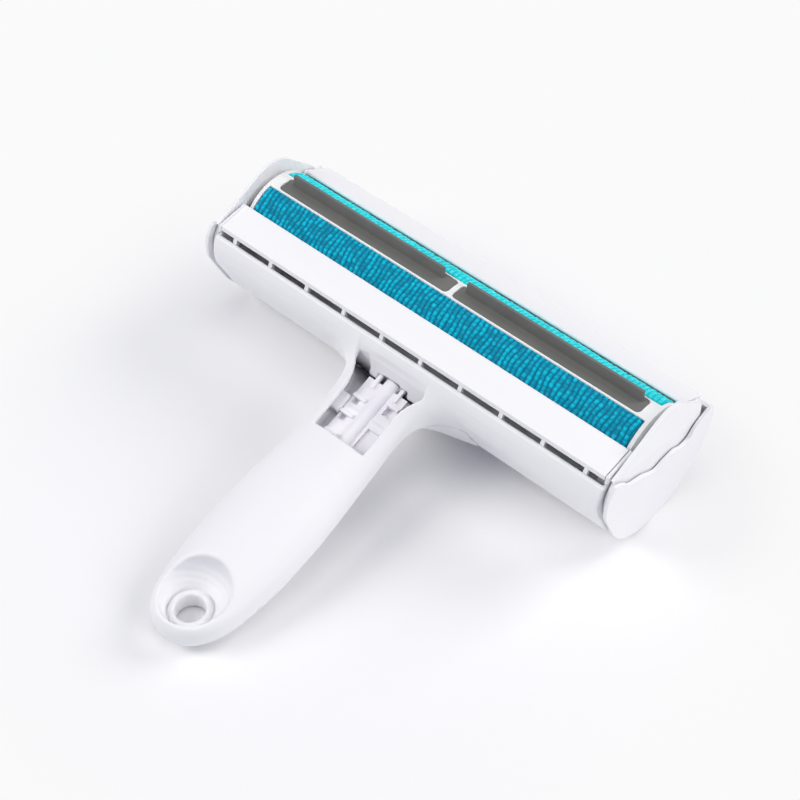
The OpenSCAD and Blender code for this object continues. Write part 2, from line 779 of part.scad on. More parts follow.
// Bar that presses both blades' flanges up against the shell
module blade_clamp() color("gainsboro") {
    drum_frame() difference() {
        along_x(-slot_x1 - 0.5, slot_x1 + 0.5)
            translate([-slot_half - 0.6, clamp_z]) square([2 * slot_half + 1.2, 1.6 - seat]);
        for (k = [-3, -1, 1, 3], x = k * lip_x / 6) translate([x, 0, clamp_z - 1]) linear_extrude(4)
            slot_plan(-8, 8, 2.2);
    }
}

// Edge of the bin's end wall: low in the middle, so that the end cover's dome shows above it
wave = [[-31.5, -0.9], [-28.5, -1.3], [-24.5, -3.4], [-20.5, -6.4], [-16, -7.6], [-11, -8.6], [-7, -10.4],
    [-2, -12], [3, -10.6], [9, -9.8], [14, -11.2], [18.6, -10.4], [21, -7.2], [24, -4.6], [27.4, -3],
    [30.2, -1.6]];
function wave_point(i) = let (p = wave[max(0, min(len(wave) - 1, i))]) [p[0] * panel_w / 62.5, p[1]];
module end_wall_region() {
    edge = [for (i = [0 : len(wave) - 2], t = [0, 0.25, 0.5, 0.75])
        spline(wave_point(i - 1), wave_point(i), wave_point(i + 1), wave_point(i + 2), t)];
    polygon(concat([[-panel_w, -60], [-panel_w, wall_top - 0.6], [-panel_w / 2 - 1.2, wall_top - 0.6]], edge,
        [[hinge_y + 0.3, hinge_z + 1.2], [hinge_y + 1, hinge_z], [panel_w, hinge_z - 0.8], [panel_w, -60]]));
}

// Everything of the bin's shell: from the seam round the belly to the far gap
module bin_region() {
    seam = on_circle([belly_y, -belly_drop], belly_r, seam_a);
    inner = on_circle([belly_y, -belly_drop], belly_r - 4 * wall, seam_a);
    shift = 0.3 * (seam - inner) / norm(seam - inner);
    along_seam = [-shift[1], shift[0]];
    polygon([inner + along_seam, seam + 2 * (seam - inner) + along_seam, [-40, -90], [90, -90], [90, lid_top],
        [shoulder_y, lid_top], [shoulder_y, inner[1]]]);
}

// Latch tongue: from the bin's edge outwards and up past the seam, into the neck
module tongue_profile(grow) {
    c = [belly_y, -belly_drop];
    step = 2.6;
    lead = on_circle(c, belly_r - lid_t, seam_a + step + 5);
    dir = [sin(seam_a), -cos(seam_a)];
    out0 = on_circle(c, belly_r + 0.5 - grow, seam_a);
    out1 = on_circle(c, belly_r + 2.1 + grow, seam_a);
    polygon([on_circle(c, belly_r - 0.9, seam_a + step), on_circle(c, belly_r - 0.9, seam_a + step + 6),
        on_circle(c, belly_r + 0.3 + grow, seam_a + step + 6),
        on_circle(c, belly_r + 2.1 + grow, seam_a + step - grow),
        out1 + (tongue_l + grow) * dir, out0 + (tongue_l + grow) * dir,
        on_circle(c, belly_r + 0.5 - grow, seam_a - 1)]);
}

// The room that the tongue sweeps as the bin opens
module tongue_sweep() {
    tongue_profile(free_gap);
    for (a = [0 : 4 : 20]) translate([hinge_y, hinge_z]) rotate(a) translate([-hinge_y, -hinge_z])
        tongue_profile(free_gap);
}

web_y = max(hinge_y + 3, belly_y + belly_r);
module bin_lid() color("white") {
    head_frame() difference() {
        union() {
            along_x(-lid_x1, lid_x1) intersection() {
                difference() {
                    head_section(0);
                    head_section(lid_t);
                }
                bin_region();
            }
            both_ends(lid_x0, lid_x1) intersection() {
                head_section(0);
                end_wall_region();
            }
            for (s = [-1, 1]) along_x(s * hinge_x - knuckle_w / 2, s * hinge_x + knuckle_w / 2) {
                translate([hinge_y, hinge_z]) circle(knuckle_r);
                intersection() {
                    head_section(0);
                    translate([hinge_y - 1, hinge_z - 4]) square([web_y - hinge_y + 1, 4]);
                }
            }
            along_x(-tongue_w / 2, tongue_w / 2) tongue_profile(0);
        }
        for (s = [-1, 1]) {
            along_x(s * hinge_x - knuckle_w, s * hinge_x + knuckle_w)
                translate([hinge_y, hinge_z]) circle(hinge_pin_r + run);
            for (e = [-1, 1]) along_x(s * hinge_x + e * ear_x - ear_t / 2 - free_gap,
                s * hinge_x + e * ear_x + ear_t / 2 + free_gap)
                translate([hinge_y, hinge_z]) circle(ear_r + free_gap);
        }
    }
}

// Release lever: a plate on a pin, with a round spine, stepped ledges, a push pad under its tail,
// a post for its spring and a nose above the bin's tongue
pad_half_x = 7.4;
pad_len = 12;
pad_mid = -11;
pad_depth = 9.3;
pad_swing = 0.5 + (pad_depth + 3) * sin(lever_a);
tail_y = -22.5;
plate_z = -2.4;
plate_t = 1.6;
deck_y = -16;
deck_z = 1.7;
spine_top = 3.3;
lever_top = 14;
spine_end = 16.8;
ledges = [-12.2, -3.2, 4.4];
module release_lever() color("white") {
    difference() {
        neck_frame() {
            translate([-lever_half, tail_y, plate_z]) cube([2 * lever_half, lever_top - tail_y, plate_t]);
            translate([-lever_half, deck_y, plate_z])
                cube([2 * lever_half, lever_top - deck_y, deck_z - plate_z]);
            along_x(-lever_half, lever_half) circle(lever_pin_r + 1);
            translate([0, spine_end, spine_top - spine_r]) rotate([90, 0, 0])
                cylinder(r = spine_r, h = spine_end - deck_y);
            for (y = ledges) translate([-lever_half, y, deck_z - 0.5]) cube([5.6, 1.3, 1.7]);
            translate([lever_half - 5.4, 8.2, deck_z - 0.5]) cube([5.4, 1.3, 1.6]);
            for (s = [-1, 1]) translate([s * 5.4 - 0.7, 10.5, deck_z - 0.5]) cube([1.4, spine_end - 10.5, 1.5]);
            translate([-pad_half_x, pad_mid - pad_len / 2, -pad_depth])
                cube([2 * pad_half_x, pad_len, pad_depth + plate_z + 0.5]);
            nose();
        }
        neck_frame() {
            along_x(-20, 20) circle(lever_pin_r + run);
            for (y = ledges) translate([-lever_half + 0.9, y - 2.4, -0.4]) cube([2.6, 2.4, 6]);
            translate([lever_half - 4.8, 4.6, -0.4]) cube([3.6, 3.6, 6]);
            translate([lever_half - 5.2, -13.5, deck_z - 1]) cube([6, 11, 6]);
        }
    }
    handle_frame() translate([0, -spring_y, spring_foot - 3]) cylinder(r = 1.3, h = 4.2);
}

// Arm from the plate's upper end down to the bin's tongue
module nose() {
    along_x(-4, 4) polygon([[9.5, plate_z], [11, plate_z + plate_t], [14.2, -3.2], [16.4, -10], [15, -10.8],
        [12.4, -5.2]]);
}

module lever_pin() color("silver") {
    neck_frame() along_x(-lever_half - 2.6, lever_half + 2.6) circle(lever_pin_r);
}

// Coil spring between the lever's tail and the roof of the neck
spring_y = 69.5;
spring_foot = 20.4;
spring_top = 26.6;
coil_r = 2.1;
wire_r = 0.3;
turns = 4;
module lever_spring() color("silver") {
    steps = 14;
    sides = 8;
    rise = spring_top - spring_foot - 2 * wire_r - 0.1;
    rings = [for (k = [0 : turns * steps]) let (a = 360 * k / steps, u = k / (turns * steps),
            h = rise * (u < 0.125 ? 0 : u > 0.875 ? 1 : (u - 0.125) / 0.75))
        [for (j = [0 : sides - 1]) let (b = -360 * j / sides, r = coil_r + wire_r * cos(b))
            [r * cos(a), r * sin(a), h + wire_r * sin(b)]]];
    handle_frame() translate([0, -spring_y, spring_foot + wire_r + 0.05]) loft(rings);
}

handle_body();
handle_back();
handle_screws();
lip_near();
lip_far();
end_cover_left();
end_cover_right();
cover_screws();
drum_shell();
drum_back();
drum_cap_left();
drum_cap_right();
drum_screws();
pile_strip_near();
pile_strip_far();
blade_left();
blade_right();
blade_clamp();
bin_lid();
hinge_pin_left();
hinge_pin_right();
release_lever();
lever_pin();
lever_spring();
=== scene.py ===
"""Pet hair removal brush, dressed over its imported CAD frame.

The brush lies on its back with the working side up. The handle's shells and the head's end frames are
meshed here from distance fields, the pile strips are woven as geometry, and the other parts keep their
CAD shape with rounded edges. All materials are procedural.
"""

import logging
import math
from dataclasses import dataclass, field
from enum import Enum

import bpy
import numpy as np
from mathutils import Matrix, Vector

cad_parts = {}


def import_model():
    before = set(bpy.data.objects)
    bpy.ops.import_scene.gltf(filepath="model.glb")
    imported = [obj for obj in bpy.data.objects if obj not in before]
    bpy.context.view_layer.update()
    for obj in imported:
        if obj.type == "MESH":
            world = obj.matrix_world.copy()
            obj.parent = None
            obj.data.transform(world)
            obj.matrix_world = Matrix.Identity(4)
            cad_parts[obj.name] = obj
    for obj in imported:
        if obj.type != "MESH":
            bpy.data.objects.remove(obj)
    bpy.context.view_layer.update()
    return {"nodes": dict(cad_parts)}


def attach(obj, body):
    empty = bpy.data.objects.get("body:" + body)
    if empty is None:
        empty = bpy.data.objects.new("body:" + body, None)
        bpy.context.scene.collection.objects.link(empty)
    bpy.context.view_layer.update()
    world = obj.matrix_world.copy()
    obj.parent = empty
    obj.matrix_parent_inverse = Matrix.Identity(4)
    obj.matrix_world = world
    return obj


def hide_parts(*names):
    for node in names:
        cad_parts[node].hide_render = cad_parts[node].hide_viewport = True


LOG = logging.getLogger("hair_brush")
MM = 0.001
# Height of the pile on each point, which also sets its painted shade and highlight
PILE_HEIGHT = "pile_height"
# The part of a noise mask's range that carries most of its values
MASK_LOW = 0.35
MASK_HIGH = 0.65
# Straight down in a section plane, in degrees from +Y towards +Z
DOWN = 270.0
# Least slope that a field is divided by
LEAST_SLOPE = 1e-4
# A distance that leaves a shape out where it stands in for the real one
AWAY = 9.0
# The eight corners of a grid cell
CORNERS = tuple((i, j, k) for i in (0, 1) for j in (0, 1) for k in (0, 1))

Array = np.ndarray
Point = tuple[float, float, float]
Colour = tuple[float, float, float]
Fields = dict[str, Array]


class Side(Enum):
    """The two ends of the head, by the sign of X."""

    LEFT = -1
    RIGHT = 1


class Row(Enum):
    """The two pile strips, by the side of the drum's crest that they lie on."""

    NEAR = -1
    FAR = 1


# Distance fields, in millimetres, negative inside a shape


def smooth_min(a: Array, b: Array, blend: float) -> Array:
    """Unites two shapes with a fillet.

    Args:
        a: Distance to the first shape.
        b: Distance to the second shape.
        blend: Size of the fillet.

    Returns:
        Distance to the blended union.
    """
    mix = np.clip(0.5 + 0.5 * (b - a) / blend, 0, 1)
    return b + (a - b) * mix - blend * mix * (1 - mix)


def smooth_max(a: Array, b: Array, blend: float) -> Array:
    """Intersects two shapes with a rounded edge.

    Args:
        a: Distance to the first shape.
        b: Distance to the second shape.
        blend: Size of the rounding.

    Returns:
        Distance to the blended intersection.
    """
    return -smooth_min(-a, -b, blend)


def box_distance(x: Array, y: Array, z: Array, low: Point, high: Point) -> Array:
    """Gives the distance to a block.

    Args:
        x: X of the points.
        y: Y of the points.
        z: Z of the points.
        low: Lowest corner of the block.
        high: Highest corner of the block.

    Returns:
        Distance to the block, exact inside and near its faces.
    """
    gaps = [abs(c - (l + h) / 2) - (h - l) / 2 for c, l, h in zip((x, y, z), low, high)]
    return np.maximum(np.maximum(gaps[0], gaps[1]), gaps[2])


def polygon_distance(y: Array, z: Array, points: list[tuple[float, float]]) -> Array:
    """Gives the distance to a polygon in the head's section plane.

    Args:
        y: Y of the grid, any shape.
        z: Z of the grid, of the same shape.
        points: Corners of the polygon, in order.

    Returns:
        Signed distance to its outline.
    """
    best = np.full(np.broadcast(y, z).shape, np.inf)
    inside = np.zeros(best.shape, bool)
    for (ay, az), (by, bz) in zip(points, points[1:] + points[:1]):
        ey, ez = by - ay, bz - az
        t = np.clip(((y - ay) * ey + (z - az) * ez) / (ey * ey + ez * ez), 0, 1)
        best = np.minimum(best, (y - ay - t * ey) ** 2 + (z - az - t * ez) ** 2)
        crosses = (az > z) != (bz > z)
        if ez:
            inside ^= crosses & (y < ey * (z - az) / ez + ay)
    return np.where(inside, -np.sqrt(best), np.sqrt(best))


@dataclass(frozen=True)
class Lattice:
    """A grid of points on which a shape's distance is worked out and meshed."""

    xs: Array
    ys: Array
    zs: Array

    def points(self) -> tuple[Array, Array, Array]:
        """Gives the grid's coordinates, shaped so that they broadcast over the grid."""
        return self.xs[:, None, None], self.ys[None, :, None], self.zs[None, None, :]

    def shape(self) -> tuple[int, int, int]:
        """Gives the number of points along each axis."""
        return len(self.xs), len(self.ys), len(self.zs)

    def normalised(self, values: Array) -> Array:
        """Turns an implicit function into a near distance.

        Args:
            values: Function values on the grid, zero on the surface.

        Returns:
            The values divided by the length of their gradient.
        """
        slopes = np.gradient(values, self.xs, self.ys, self.zs)
        steep = np.sqrt(sum(s * s for s in slopes))
        return values / np.maximum(steep, LEAST_SLOPE)

    def surface(self, values: Array) -> tuple[Array, Array]:
        """Meshes the zero surface with one point in each cell that it crosses.

        Args:
            values: Distance on the grid, negative inside.

        Returns:
            Vertices in millimetres and quads that face outwards.
        """
        inner = values < 0
        nx, ny, nz = (n - 1 for n in values.shape)
        full = np.zeros((nx, ny, nz), np.uint8)
        for i, j, k in CORNERS:
            full += inner[i : i + nx, j : j + ny, k : k + nz]
        cells = np.argwhere((full > 0) & (full < len(CORNERS)))
        number = np.full((nx, ny, nz), -1, np.int64)
        number[tuple(cells.T)] = np.arange(len(cells))
        return self.cell_points(values, cells), self.quads(inner, number)

    def cell_points(self, values: Array, cells: Array) -> Array:
        """Places a point in each cell, at the mean of the surface's crossings with the cell's edges.

        Args:
            values: Distance on the grid.
            cells: Grid numbers of the cells that the surface crosses.

        Returns:
            One point for each cell.
        """
        total = np.zeros((len(cells), 3))
        count = np.zeros(len(cells))
        axes = (self.xs, self.ys, self.zs)
        for a in CORNERS:
            for axis in range(3):
                if a[axis]:
                    continue
                b = tuple(v + (d == axis) for d, v in enumerate(a))
                start, end = cells + a, cells + b
                va, vb = values[tuple(start.T)], values[tuple(end.T)]
                cut = (va < 0) != (vb < 0)
                share = va[cut] / (va[cut] - vb[cut])
                place = np.stack([axes[d][start[cut, d]] for d in range(3)], 1)
                far = axes[axis][end[cut, axis]]
                place[:, axis] += share * (far - place[:, axis])
                total[cut] += place
                count[cut] += 1
        return total / count[:, None]

    def quads(self, inner: Array, number: Array) -> Array:
        """Joins the points of the four cells round each grid edge that crosses the surface.

        Args:
            inner: Whether each grid point is inside the shape.
            number: Number of each cell's point, or -1.

        Returns:
            Quads that face outwards.
        """
        quads = []
        for axis in range(3):
            other = [d for d in range(3) if d != axis]
            low = [slice(1, n) for n in inner.shape]
            low[axis] = slice(0, inner.shape[axis] - 1)
            high = list(low)
            high[axis] = slice(1, inner.shape[axis])
            for d in other:
                low[d] = high[d] = slice(1, inner.shape[d] - 1)
            first, second = inner[tuple(low)], inner[tuple(high)]
            base = np.argwhere(first != second)
            leaving = first[tuple(base.T)]
            for d in other:
                base[:, d] += 1
            ring = []
            for steps in ((1, 1), (0, 1), (0, 0), (1, 0)):
                at = base.copy()
                for d, step in zip(other, steps):
                    at[:, d] -= step
                ring.append(number[tuple(at.T)])
            quad = np.stack(ring, 1)
            flip = leaving if axis == 1 else ~leaving
            quad[flip] = quad[flip][:, ::-1]
            quads.append(quad)
        return np.concatenate(quads)


def stretches(*parts: tuple[float, float, float]) -> Array:
    """Joins stretches of evenly spaced values.

    Args:
        parts: Start, end and wished spacing of each stretch.

    Returns:
        Sorted values without repeats.
    """
    values = [np.linspace(a, b, max(2, round((b - a) / step) + 1)) for a, b, step in parts]
    return np.unique(np.round(np.concatenate(values), 6))


def make_piece(
    name: str, vertices: Array, faces: Array, body: str, material: bpy.types.Material
) -> bpy.types.Object:
    """Makes a smooth-shaded piece of the object.

    Args:
        name: Name of the piece.
        vertices: Points in millimetres, in the part's frame.
        faces: Vertex numbers of each face.
        body: Body that the piece moves with.
        material: Its material.

    Returns:
        The new object.
    """
    mesh = bpy.data.meshes.new(name)
    mesh.from_pydata((vertices * MM).tolist(), [], faces.tolist())
    mesh.validate()
    mesh.polygons.foreach_set("use_smooth", np.ones(len(mesh.polygons), bool))
    mesh.materials.append(material)
    piece = bpy.data.objects.new(name, mesh)
    bpy.context.scene.collection.objects.link(piece)
    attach(piece, body)
    LOG.info("%s: %d vertices, %d faces on %s", name, len(mesh.vertices), len(mesh.polygons), body)
    return piece


# Shader node groups, built once each


def new_group(
    name: str, inputs: dict[str, float], outputs: dict[str, str]
) -> tuple[bpy.types.NodeTree, bpy.types.Node, bpy.types.Node]:
    """Makes an empty shader node group with its sockets.

    Args:
        name: Name of the group.
        inputs: Names and default values of its number inputs.
        outputs: Names and socket types of its outputs.

    Returns:
        The group, its input node and its output node.
    """
    group = bpy.data.node_groups.new(name, "ShaderNodeTree")
    for label, value in inputs.items():
        socket = group.interface.new_socket(label, in_out="INPUT", socket_type="NodeSocketFloat")
        socket.default_value = value
    for label, kind in outputs.items():
        group.interface.new_socket(label, in_out="OUTPUT", socket_type=kind)
    return group, group.nodes.new("NodeGroupInput"), group.nodes.new("NodeGroupOutput")


def grain_group() -> bpy.types.NodeTree:
    """Builds the fine texture of moulded plastic and rubber.

    Returns:
        A group with inputs Scale and Spread, and outputs Height, a fine bump, and Cloud, a slow mask.
    """
    group, source, sink = new_group(
        "moulded_grain",
        {"Scale": 900.0, "Spread": 40.0},
        {"Height": "NodeSocketFloat", "Cloud": "NodeSocketFloat"},
    )
    nodes, links = group.nodes, group.links
    place = nodes.new("ShaderNodeTexCoord")
    for output, label, detail in (("Height", "Scale", 4), ("Cloud", "Spread", 3)):
        noise = nodes.new("ShaderNodeTexNoise")
        noise.inputs["Detail"].default_value = detail
        links.new(place.outputs["Object"], noise.inputs["Vector"])
        links.new(source.outputs[label], noise.inputs["Scale"])
        links.new(noise.outputs["Fac"], sink.inputs[output])
    return group


def edge_highlight_group() -> bpy.types.NodeTree:
    """Builds the mask of the painted highlight on a moulding's convex edges, from the surface's own
    curvature.

    Returns:
        A group with inputs Low and High, and the output Edge.
    """
    group, source, sink = new_group("painted_edge_highlight", {"Low": 0.52, "High": 0.6}, {"Edge": "NodeSocketFloat"})
    nodes, links = group.nodes, group.links
    geometry = nodes.new("ShaderNodeNewGeometry")
    spread = nodes.new("ShaderNodeMapRange")
    links.new(geometry.outputs["Pointiness"], spread.inputs["Value"])
    links.new(source.outputs["Low"], spread.inputs["From Min"])
    links.new(source.outputs["High"], spread.inputs["From Max"])
    links.new(spread.outputs["Result"], sink.inputs["Edge"])
    return group


class Effects:
    """The shader node groups, made once and shared by the finishes."""

    def __init__(self) -> None:
        """Builds the groups."""
        self.grain = grain_group()
        self.edges = edge_highlight_group()

    def add(self, tree: bpy.types.NodeTree, group: bpy.types.NodeTree, **values: float) -> bpy.types.Node:
        """Places a group in a material.

        Args:
            tree: The material's node tree.
            group: The group to place.
            values: Its inputs by name.

        Returns:
            The group's node.
        """
        node = tree.nodes.new("ShaderNodeGroup")
        node.node_tree = group
        for label, value in values.items():
            node.inputs[label].default_value = value
        return node


def blank_material(name: str) -> tuple[bpy.types.Material, bpy.types.NodeTree, bpy.types.Node]:
    """Makes a material with one Principled shader.

    Args:
        name: Name of the material.

    Returns:
        The material, its node tree and its shader.
    """
    material = bpy.data.materials.new(name)
    material.use_nodes = True
    tree = material.node_tree
    tree.nodes.clear()
    shader = tree.nodes.new("ShaderNodeBsdfPrincipled")
    sink = tree.nodes.new("ShaderNodeOutputMaterial")
    tree.links.new(shader.outputs["BSDF"], sink.inputs["Surface"])
    return material, tree, shader


def mix_colours(
    tree: bpy.types.NodeTree,
    factor: bpy.types.NodeSocket,
    low: Colour | bpy.types.NodeSocket,
    high: Colour,
) -> bpy.types.NodeSocket:
    """Mixes two colours by a mask.

    Args:
        tree: Node tree of the material.
        factor: The mask.
        low: Colour where the mask is 0, or the socket that gives it.
        high: Colour where the mask is 1.

    Returns:
        The socket with the mixed colour.
    """
    mix = tree.nodes.new("ShaderNodeMix")
    mix.data_type = "RGBA"
    tree.links.new(factor, mix.inputs["Factor"])
    if isinstance(low, tuple):
        mix.inputs["A"].default_value = (*low, 1)
    else:
        tree.links.new(low, mix.inputs["A"])
    mix.inputs["B"].default_value = (*high, 1)
    return mix.outputs["Result"]


def spread_value(
    tree: bpy.types.NodeTree, value: bpy.types.NodeSocket, low: float, high: float
) -> bpy.types.NodeSocket:
    """Maps a mask's middle range to a range of values.

    Args:
        tree: Node tree of the material.
        value: The mask.
        low: Result at the mask's low end.
        high: Result at the mask's high end.

    Returns:
        The socket with the result.
    """
    spread = tree.nodes.new("ShaderNodeMapRange")
    tree.links.new(value, spread.inputs["Value"])
    spread.inputs["From Min"].default_value = MASK_LOW
    spread.inputs["From Max"].default_value = MASK_HIGH
    spread.inputs["To Min"].default_value = low
    spread.inputs["To Max"].default_value = high
    return spread.outputs["Result"]


def add_bump(
    tree: bpy.types.NodeTree,
    shader: bpy.types.Node,
    height: bpy.types.NodeSocket,
    strength: float,
    depth: float,
) -> None:
    """Adds a bump to a shader.

    Args:
        tree: Node tree of the material.
        shader: The Principled shader.
        height: Height mask.
        strength: Strength of the bump.
        depth: Height of the bump, in metres.
    """
    bump = tree.nodes.new("ShaderNodeBump")
    bump.inputs["Strength"].default_value = strength
    bump.inputs["Distance"].default_value = depth
    tree.links.new(height, bump.inputs["Height"])
    tree.links.new(bump.outputs["Normal"], shader.inputs["Normal"])


def feed_shader(
    tree: bpy.types.NodeTree,
    shader: bpy.types.Node,
    grain: bpy.types.Node,
    colour: bpy.types.NodeSocket,
    rough: tuple[float, float],
    bump: tuple[float, float],
) -> None:
    """Feeds a shader its colour, and its roughness and bump from the grain.

    Args:
        tree: Node tree of the material.
        shader: The Principled shader.
        grain: Node of the grain's group.
        colour: Socket with the colour.
        rough: Lowest and highest roughness.
        bump: Strength of the bump and its height, in metres.
    """
    tree.links.new(colour, shader.inputs["Base Color"])
    roughness = spread_value(tree, grain.outputs["Cloud"], *rough)
    tree.links.new(roughness, shader.inputs["Roughness"])
    add_bump(tree, shader, grain.outputs["Height"], *bump)


@dataclass(frozen=True)
class PlasticFinish:
    """Satin moulded plastic: nearly even colour, a faint cloud in the gloss and a painted highlight on
    convex edges.
    """

    name: str
    colour: Colour
    shade: Colour
    # edge is the colour of the painted highlight on convex edges
    edge: Colour
    rough: tuple[float, float] = (0.38, 0.48)
    grain: float = 1400.0
    cloud: float = 45.0
    edge_low: float = 0.53
    edge_high: float = 0.62
    bump: tuple[float, float] = (0.06, 0.00008)
    ior: float = 1.5

    def material(self, effects: Effects) -> bpy.types.Material:
        """Builds the material from the shared effects.

        Args:
            effects: The shared node groups.

        Returns:
            The material.
        """
        material, tree, shader = blank_material(self.name)
        grain = effects.add(tree, effects.grain, Scale=self.grain, Spread=self.cloud)
        edges = effects.add(tree, effects.edges, Low=self.edge_low, High=self.edge_high)
        body = mix_colours(tree, grain.outputs["Cloud"], self.shade, self.colour)
        # Convex edges are painted lighter as a highlight
        edge_lit = mix_colours(tree, edges.outputs["Edge"], body, self.edge)
        feed_shader(tree, shader, grain, edge_lit, self.rough, self.bump)
        shader.inputs["IOR"].default_value = self.ior
        return material


@dataclass(frozen=True)
class RubberFinish:
    """Matt rubber: mottled grey with a fine skin."""

    name: str
    dark: Colour
    light: Colour
    rough: tuple[float, float] = (0.5, 0.68)
    grain: float = 1500.0
    cloud: float = 110.0
    bump: tuple[float, float] = (0.25, 0.00015)

    def material(self, effects: Effects) -> bpy.types.Material:
        """Builds the material from the shared effects.

        Args:
            effects: The shared node groups.

        Returns:
            The material.
        """
        material, tree, shader = blank_material(self.name)
        grain = effects.add(tree, effects.grain, Scale=self.grain, Spread=self.cloud)
        colour = mix_colours(tree, grain.outputs["Cloud"], self.dark, self.light)
        feed_shader(tree, shader, grain, colour, self.rough, self.bump)
        return material


@dataclass(frozen=True)
class PileFinish:
    """Short directional pile: painted shade at the roots, a painted highlight at the tips, and a sheen.

    The stops are the heights of the root's, the middle's and the tip's colour. The fibre numbers say how
    much the grain shifts the height that a colour is looked up at, and the shift that it is centred on.
    """

    name: str
    # root paints shade in the pile's valleys, tip paints a highlight on the ridges
    root: Colour
    middle: Colour
    tip: Colour
    sheen: Colour
    sheen_weight: float
    sheen_rough: float = 0.4
    stops: tuple[float, float, float] = (0.12, 0.55, 0.95)
    fibre: float = 0.55
    fibre_centre: float = 0.28
    rough: tuple[float, float] = (0.75, 0.95)
    specular: float = 0.25
    grain: float = 2600.0
    cloud: float = 420.0
    bump: tuple[float, float] = (0.5, 0.0002)

    def material(self, effects: Effects) -> bpy.types.Material:
        """Builds the material from the shared effects and the height kept on the strip's points.

        Args:
            effects: The shared node groups.

        Returns:
            The material.
        """
        material, tree, shader = blank_material(self.name)
        grain = effects.add(tree, effects.grain, Scale=self.grain, Spread=self.cloud)
        height = tree.nodes.new("ShaderNodeAttribute")
        height.attribute_name = PILE_HEIGHT
        offset = tree.nodes.new("ShaderNodeMath")
        offset.operation = "SUBTRACT"
        tree.links.new(height.outputs["Fac"], offset.inputs[0])
        offset.inputs[1].default_value = self.fibre_centre
        blend = tree.nodes.new("ShaderNodeMath")
        blend.operation = "MULTIPLY_ADD"
        tree.links.new(grain.outputs["Height"], blend.inputs[0])
        blend.inputs[1].default_value = self.fibre
        tree.links.new(offset.outputs["Value"], blend.inputs[2])
        ramp = self.ramp(tree)
        tree.links.new(blend.outputs["Value"], ramp.inputs["Fac"])
        feed_shader(tree, shader, grain, ramp.outputs["Color"], self.rough, self.bump)
        shader.inputs["Specular IOR Level"].default_value = self.specular
        shader.inputs["Sheen Weight"].default_value = self.sheen_weight
        shader.inputs["Sheen Roughness"].default_value = self.sheen_rough
        shader.inputs["Sheen Tint"].default_value = (*self.sheen, 1)
        return material

    def ramp(self, tree: bpy.types.NodeTree) -> bpy.types.Node:
        """Makes the colour ramp from the painted shade at the roots to the painted highlight at the tips.

        Args:
            tree: Node tree of the material.

        Returns:
            The ramp's node.
        """
        ramp = tree.nodes.new("ShaderNodeValToRGB")
        low, middle, high = self.stops
        first, last = ramp.color_ramp.elements
        first.color = (*self.root, 1)
        first.position = low
        last.color = (*self.tip, 1)
        last.position = high
        between = ramp.color_ramp.elements.new(middle)
        between.color = (*self.middle, 1)
        return ramp


@dataclass(frozen=True)
class SteelFinish:
    """Zinc-plated steel, slightly clouded."""

    name: str
    colour: Colour
    dull: float = 0.8
    rough: tuple[float, float] = (0.25, 0.4)
    grain: float = 3500.0
    cloud: float = 500.0
    bump: tuple[float, float] = (0.2, 0.00005)

    def material(self, effects: Effects) -> bpy.types.Material:
        """Builds the material from the shared effects.

        Args:
            effects: The shared node groups.

        Returns:
            The material.
        """
        material, tree, shader = blank_material(self.name)
        grain = effects.add(tree, effects.grain, Scale=self.grain, Spread=self.cloud)
        dull = tuple(c * self.dull for c in self.colour)
        colour = mix_colours(tree, grain.outputs["Cloud"], dull, self.colour)
        feed_shader(tree, shader, grain, colour, self.rough, self.bump)
        shader.inputs["Metallic"].default_value = 1.0
        return material


